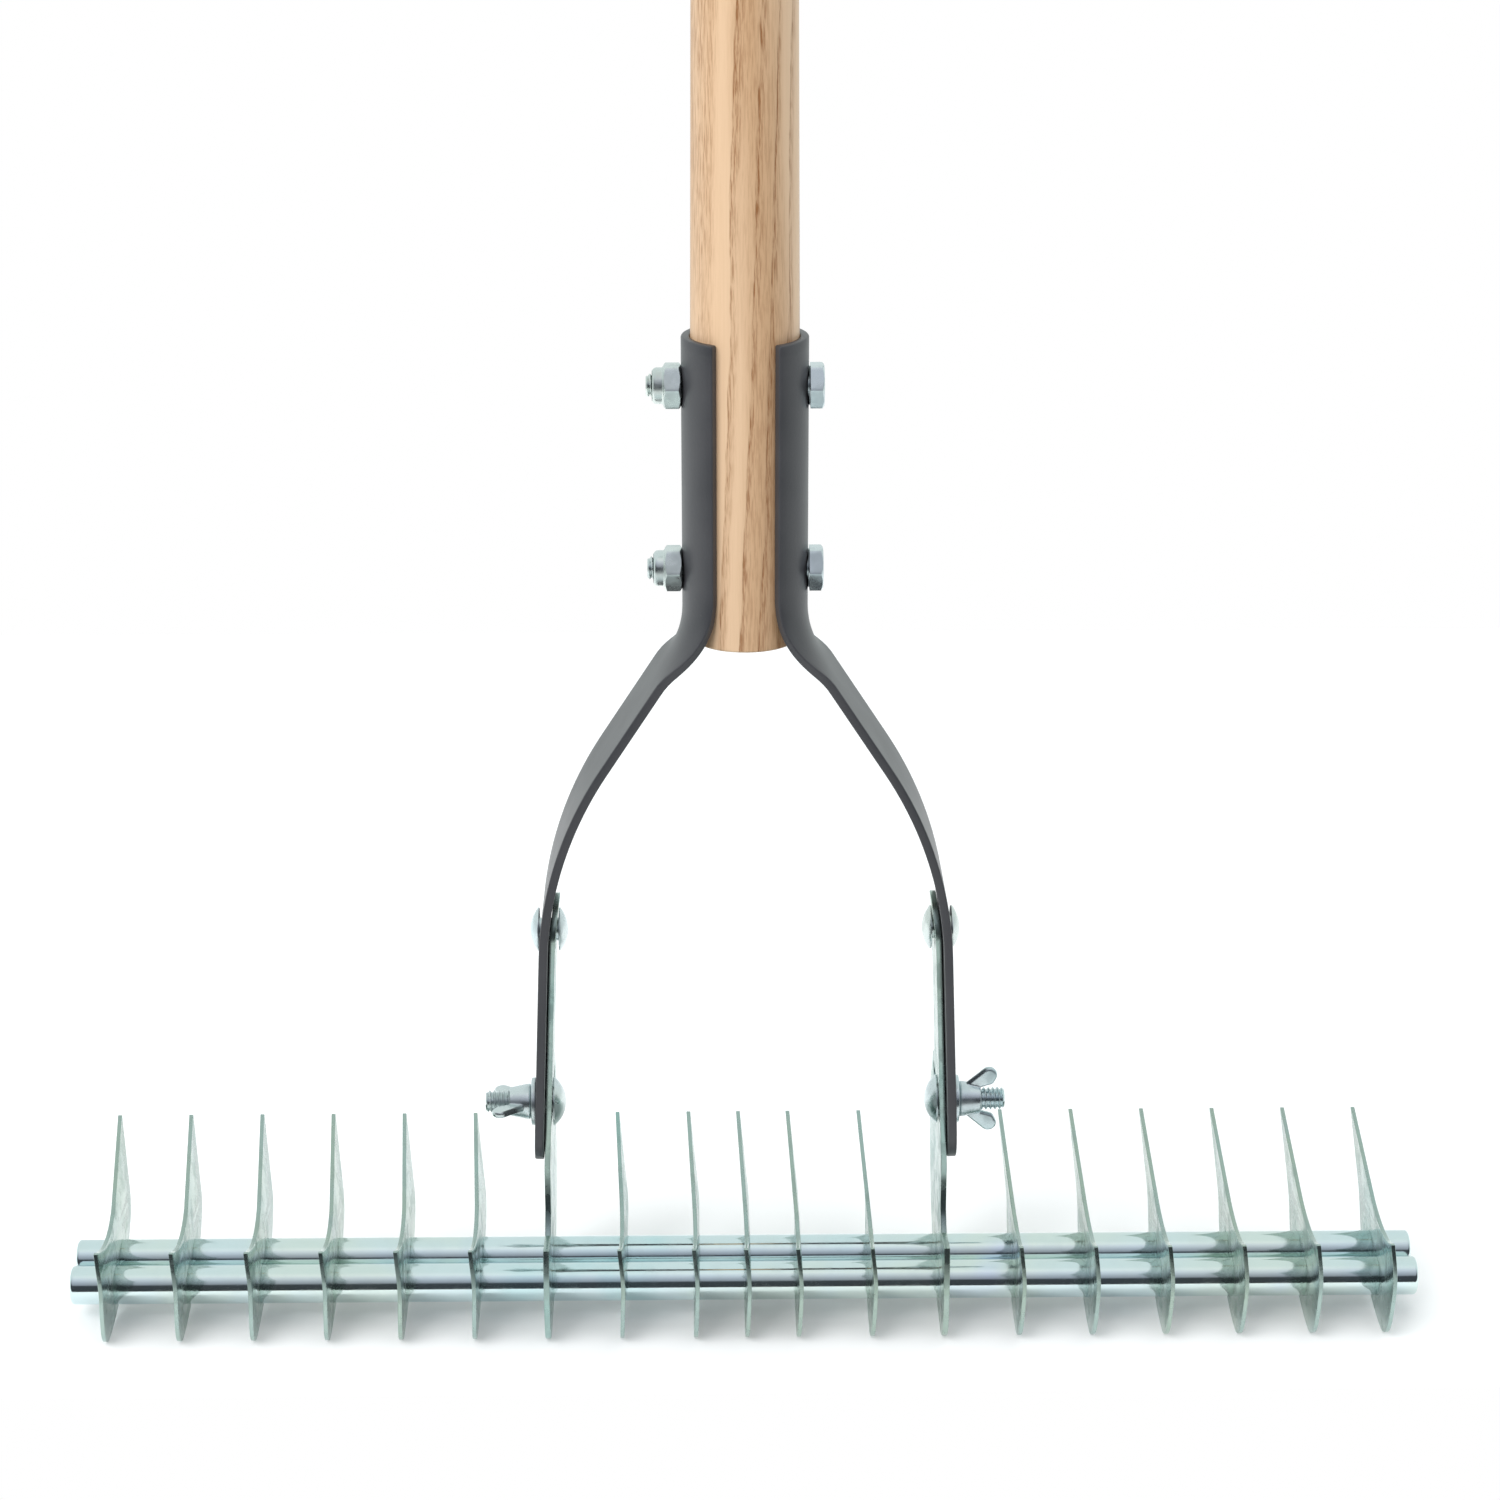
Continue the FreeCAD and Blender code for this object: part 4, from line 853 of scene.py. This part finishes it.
def add_wing_nut(side_name, side):
    """Cold-forged wing nut: flange, tapered hub and two ears, melted together."""
    node = side_name + "_wing_nut"
    low, high = box_of(node)
    out = X * side
    near = min(abs(low.x), abs(high.x))
    base = out * near + Vector((0, HANDLE_Y, (low.z + high.z) / 2))
    bore = BOLT_RADIUS + 0.1
    corners = [(0.05, bore + 0.4), (0.05, 5.1), (1.55, 4.9), (6.1, 3.95), (6.1, bore + 0.3),
               (5.8, bore), (0.35, bore)]
    radii = [0.1, 0.6, 0.5, 0.3, 0.1, 0.1, 0.1]
    profile = [(p.x, p.y) for p in rounded(corners, radii, closed=True, steps=4)]
    hub = turned(profile, Vector((0, 0, 0)), X, Y, closed=True, steps=64)
    ears = []
    for way in (1, -1):
        points, faces = sheet_metal([wing_ear(way)], 2.0, 0.7)
        ears.append(([Vector((p.y, p.x, p.z)) for p in points], faces))
    piece = make_object(side_name + "_wing", joined(hub, *ears))
    melt = piece.modifiers.new("melt", "REMESH")
    melt.mode = "VOXEL"
    melt.voxel_size = 0.16 * MM
    soften = piece.modifiers.new("soften", "SMOOTH")
    soften.factor = 0.5
    soften.iterations = 7
    thin = piece.modifiers.new("thin", "DECIMATE")
    thin.ratio = 0.35
    bpy.context.view_layer.update()
    graph = bpy.context.evaluated_depsgraph_get()
    formed = bpy.data.meshes.new_from_object(piece.evaluated_get(graph))
    piece.modifiers.clear()
    piece.data = formed
    facing = Euler((math.radians(WING_TURN[side_name]), 0, 0)).to_matrix()
    if side < 0:
        facing = Euler((0, 0, math.pi)).to_matrix() @ facing
    for vertex in formed.vertices:
        vertex.co = facing @ vertex.co + base * MM
    formed.shade_smooth()
    stand_for(piece, node)


# ---------------------------------------------------------------- assembly

handle_low, handle_high = box_of("handle")
HANDLE_Y = (handle_low.y + handle_high.y) / 2
arm_low, arm_high = box_of("right_arm")
SOCKET_TOP, ARM_LOW_Z = arm_high.z, arm_low.z
ARM_LOW_X = arm_high.x - ARM_SHEET * math.cos(LEAN)
SOCKET_OUTSIDE = SOCKET_INSIDE + ARM_SHEET
rivet_low, rivet_high = box_of("right_rivet")
RIVET_Z = (rivet_low.z + rivet_high.z) / 2

add_handle()
add_bar("front_rod", "front_bar")
add_bar("back_rod", "back_bar")
add_blades()
for level_name in ("upper", "lower"):
    add_socket_bolt(level_name)
    add_lock_nut(level_name)
    ring_node = level_name + "_nylon_insert"
    ring_piece = frame["nodes"][ring_node]
    ring_piece.data.materials[0] = materials["nylon"]
for name_of_side, way_out in (("left", -1), ("right", 1)):
    add_arm(name_of_side, way_out)
    add_plate(name_of_side, way_out)
    add_rivet(name_of_side, way_out)
    add_clamp_bolt(name_of_side, way_out)
    add_washer(name_of_side, way_out)
    add_wing_nut(name_of_side, way_out)


# ---------------------------------------------------------------- studio

FLOOR_WIDTH, FLOOR_DEPTH = 1.6, 0.7
FLOOR_FRONT, FLOOR_DROP = -0.056, 0.0002
LENS, SENSOR = 85.3, 36.0
CAMERA_PLACE = (-0.01327, -0.91395, 0.48153)
CAMERA_DOWN, CAMERA_TURN = math.radians(19.07), math.radians(-0.919)


def add_floor():
    """A pale table top whose front edge lies just before the blades."""
    middle = FLOOR_DEPTH / 2 + FLOOR_FRONT
    bpy.ops.mesh.primitive_plane_add(size=1.0, location=(0, middle, -FLOOR_DROP))
    floor = bpy.context.object
    floor.scale = (FLOOR_WIDTH, FLOOR_DEPTH, 1.0)
    floor.name = "floor"
    graph = Graph("floor")
    tone = graph.noise(3.0, 2.0)
    graph.set(base_color=graph.ramp(tone, (0.3, (0.90, 0.90, 0.90)), (0.7, (0.93, 0.93, 0.93))),
              roughness=0.7)
    graph.feed(graph.shader.inputs["Emission Color"], (1.0, 1.0, 1.0))
    graph.feed(graph.shader.inputs["Emission Strength"], 0.12)
    floor.data.materials.append(graph.material)


def add_world():
    """Pale studio walls: bright overhead, behind and below, with a dark band low in front."""
    world = bpy.data.worlds.new("studio")
    bpy.context.scene.world = world
    world.use_nodes = True
    tree = world.node_tree
    nodes, links = tree.nodes, tree.links
    background = nodes["Background"]
    place = nodes.new("ShaderNodeTexCoord")
    apart = nodes.new("ShaderNodeSeparateXYZ")
    links.new(place.outputs["Generated"], apart.inputs[0])
    front = nodes.new("ShaderNodeValToRGB")
    stops = [(0.0, (0.70, 0.80, 0.82)), (0.10, (0.78, 0.88, 0.90)), (0.22, (0.97, 1.0, 1.0)),
             (0.345, (0.97, 1.0, 1.0)), (0.37, (0.05, 0.055, 0.06)), (0.66, (0.06, 0.065, 0.075)),
             (0.71, (0.34, 0.35, 0.40)), (0.81, (0.52, 0.53, 0.60)), (0.92, (0.80, 0.82, 0.88)),
             (0.975, (1.0, 1.0, 1.0))]
    elements = front.color_ramp.elements
    while len(elements) < len(stops):
        elements.new(0.5)
    for element, (position, colour) in zip(elements, stops):
        element.position = position
        element.color = (*colour, 1)
    height = nodes.new("ShaderNodeMapRange")
    height.inputs["From Min"].default_value = -1.0
    links.new(apart.outputs["Z"], height.inputs["Value"])
    links.new(height.outputs["Result"], front.inputs["Fac"])
    behind = nodes.new("ShaderNodeMapRange")
    behind.interpolation_type = "SMOOTHSTEP"
    behind.inputs["From Min"].default_value = -0.45
    behind.inputs["From Max"].default_value = 0.1
    links.new(apart.outputs["Y"], behind.inputs["Value"])
    blend = nodes.new("ShaderNodeMix")
    blend.data_type = "RGBA"
    links.new(behind.outputs["Result"], blend.inputs["Factor"])
    links.new(front.outputs["Color"], blend.inputs["A"])
    blend.inputs["B"].default_value = (0.84, 0.90, 0.89, 1)
    seen = nodes.new("ShaderNodeLightPath")
    wall = nodes.new("ShaderNodeMix")
    wall.data_type = "RGBA"
    links.new(seen.outputs["Is Camera Ray"], wall.inputs["Factor"])
    links.new(blend.outputs["Result"], wall.inputs["A"])
    wall.inputs["B"].default_value = (1.0, 1.0, 1.0, 1)
    links.new(wall.outputs["Result"], background.inputs["Color"])
    background.inputs["Strength"].default_value = 1.0


def add_softbox(name, place, size, power, glossy):
    light = bpy.data.lights.new(name, "AREA")
    light.shape = "RECTANGLE"
    light.size, light.size_y = size
    light.energy = power
    lamp = bpy.data.objects.new(name, light)
    lamp.location = place
    lamp.rotation_euler = (Vector((0, 0, 0.2)) - Vector(place)).to_track_quat("-Z", "Y").to_euler()
    lamp.visible_glossy = glossy
    bpy.context.scene.collection.objects.link(lamp)


def add_camera():
    data = bpy.data.cameras.new("camera")
    data.lens = LENS
    data.sensor_width = SENSOR
    camera = bpy.data.objects.new("camera", data)
    camera.location = CAMERA_PLACE
    camera.rotation_euler = (math.pi / 2 - CAMERA_DOWN, 0, CAMERA_TURN)
    bpy.context.scene.collection.objects.link(camera)
    bpy.context.scene.camera = camera


add_floor()
add_world()
add_softbox("overhead", (0.2, 0.3, 2.4), (1.6, 1.6), 6.0, False)
add_softbox("key", (-1.3, -1.5, 1.5), (1.8, 1.8), 50.0, False)
add_softbox("fill", (1.5, -1.4, 1.3), (1.8, 1.8), 9.0, False)
add_camera()
bpy.context.scene.view_settings.view_transform = "Standard"
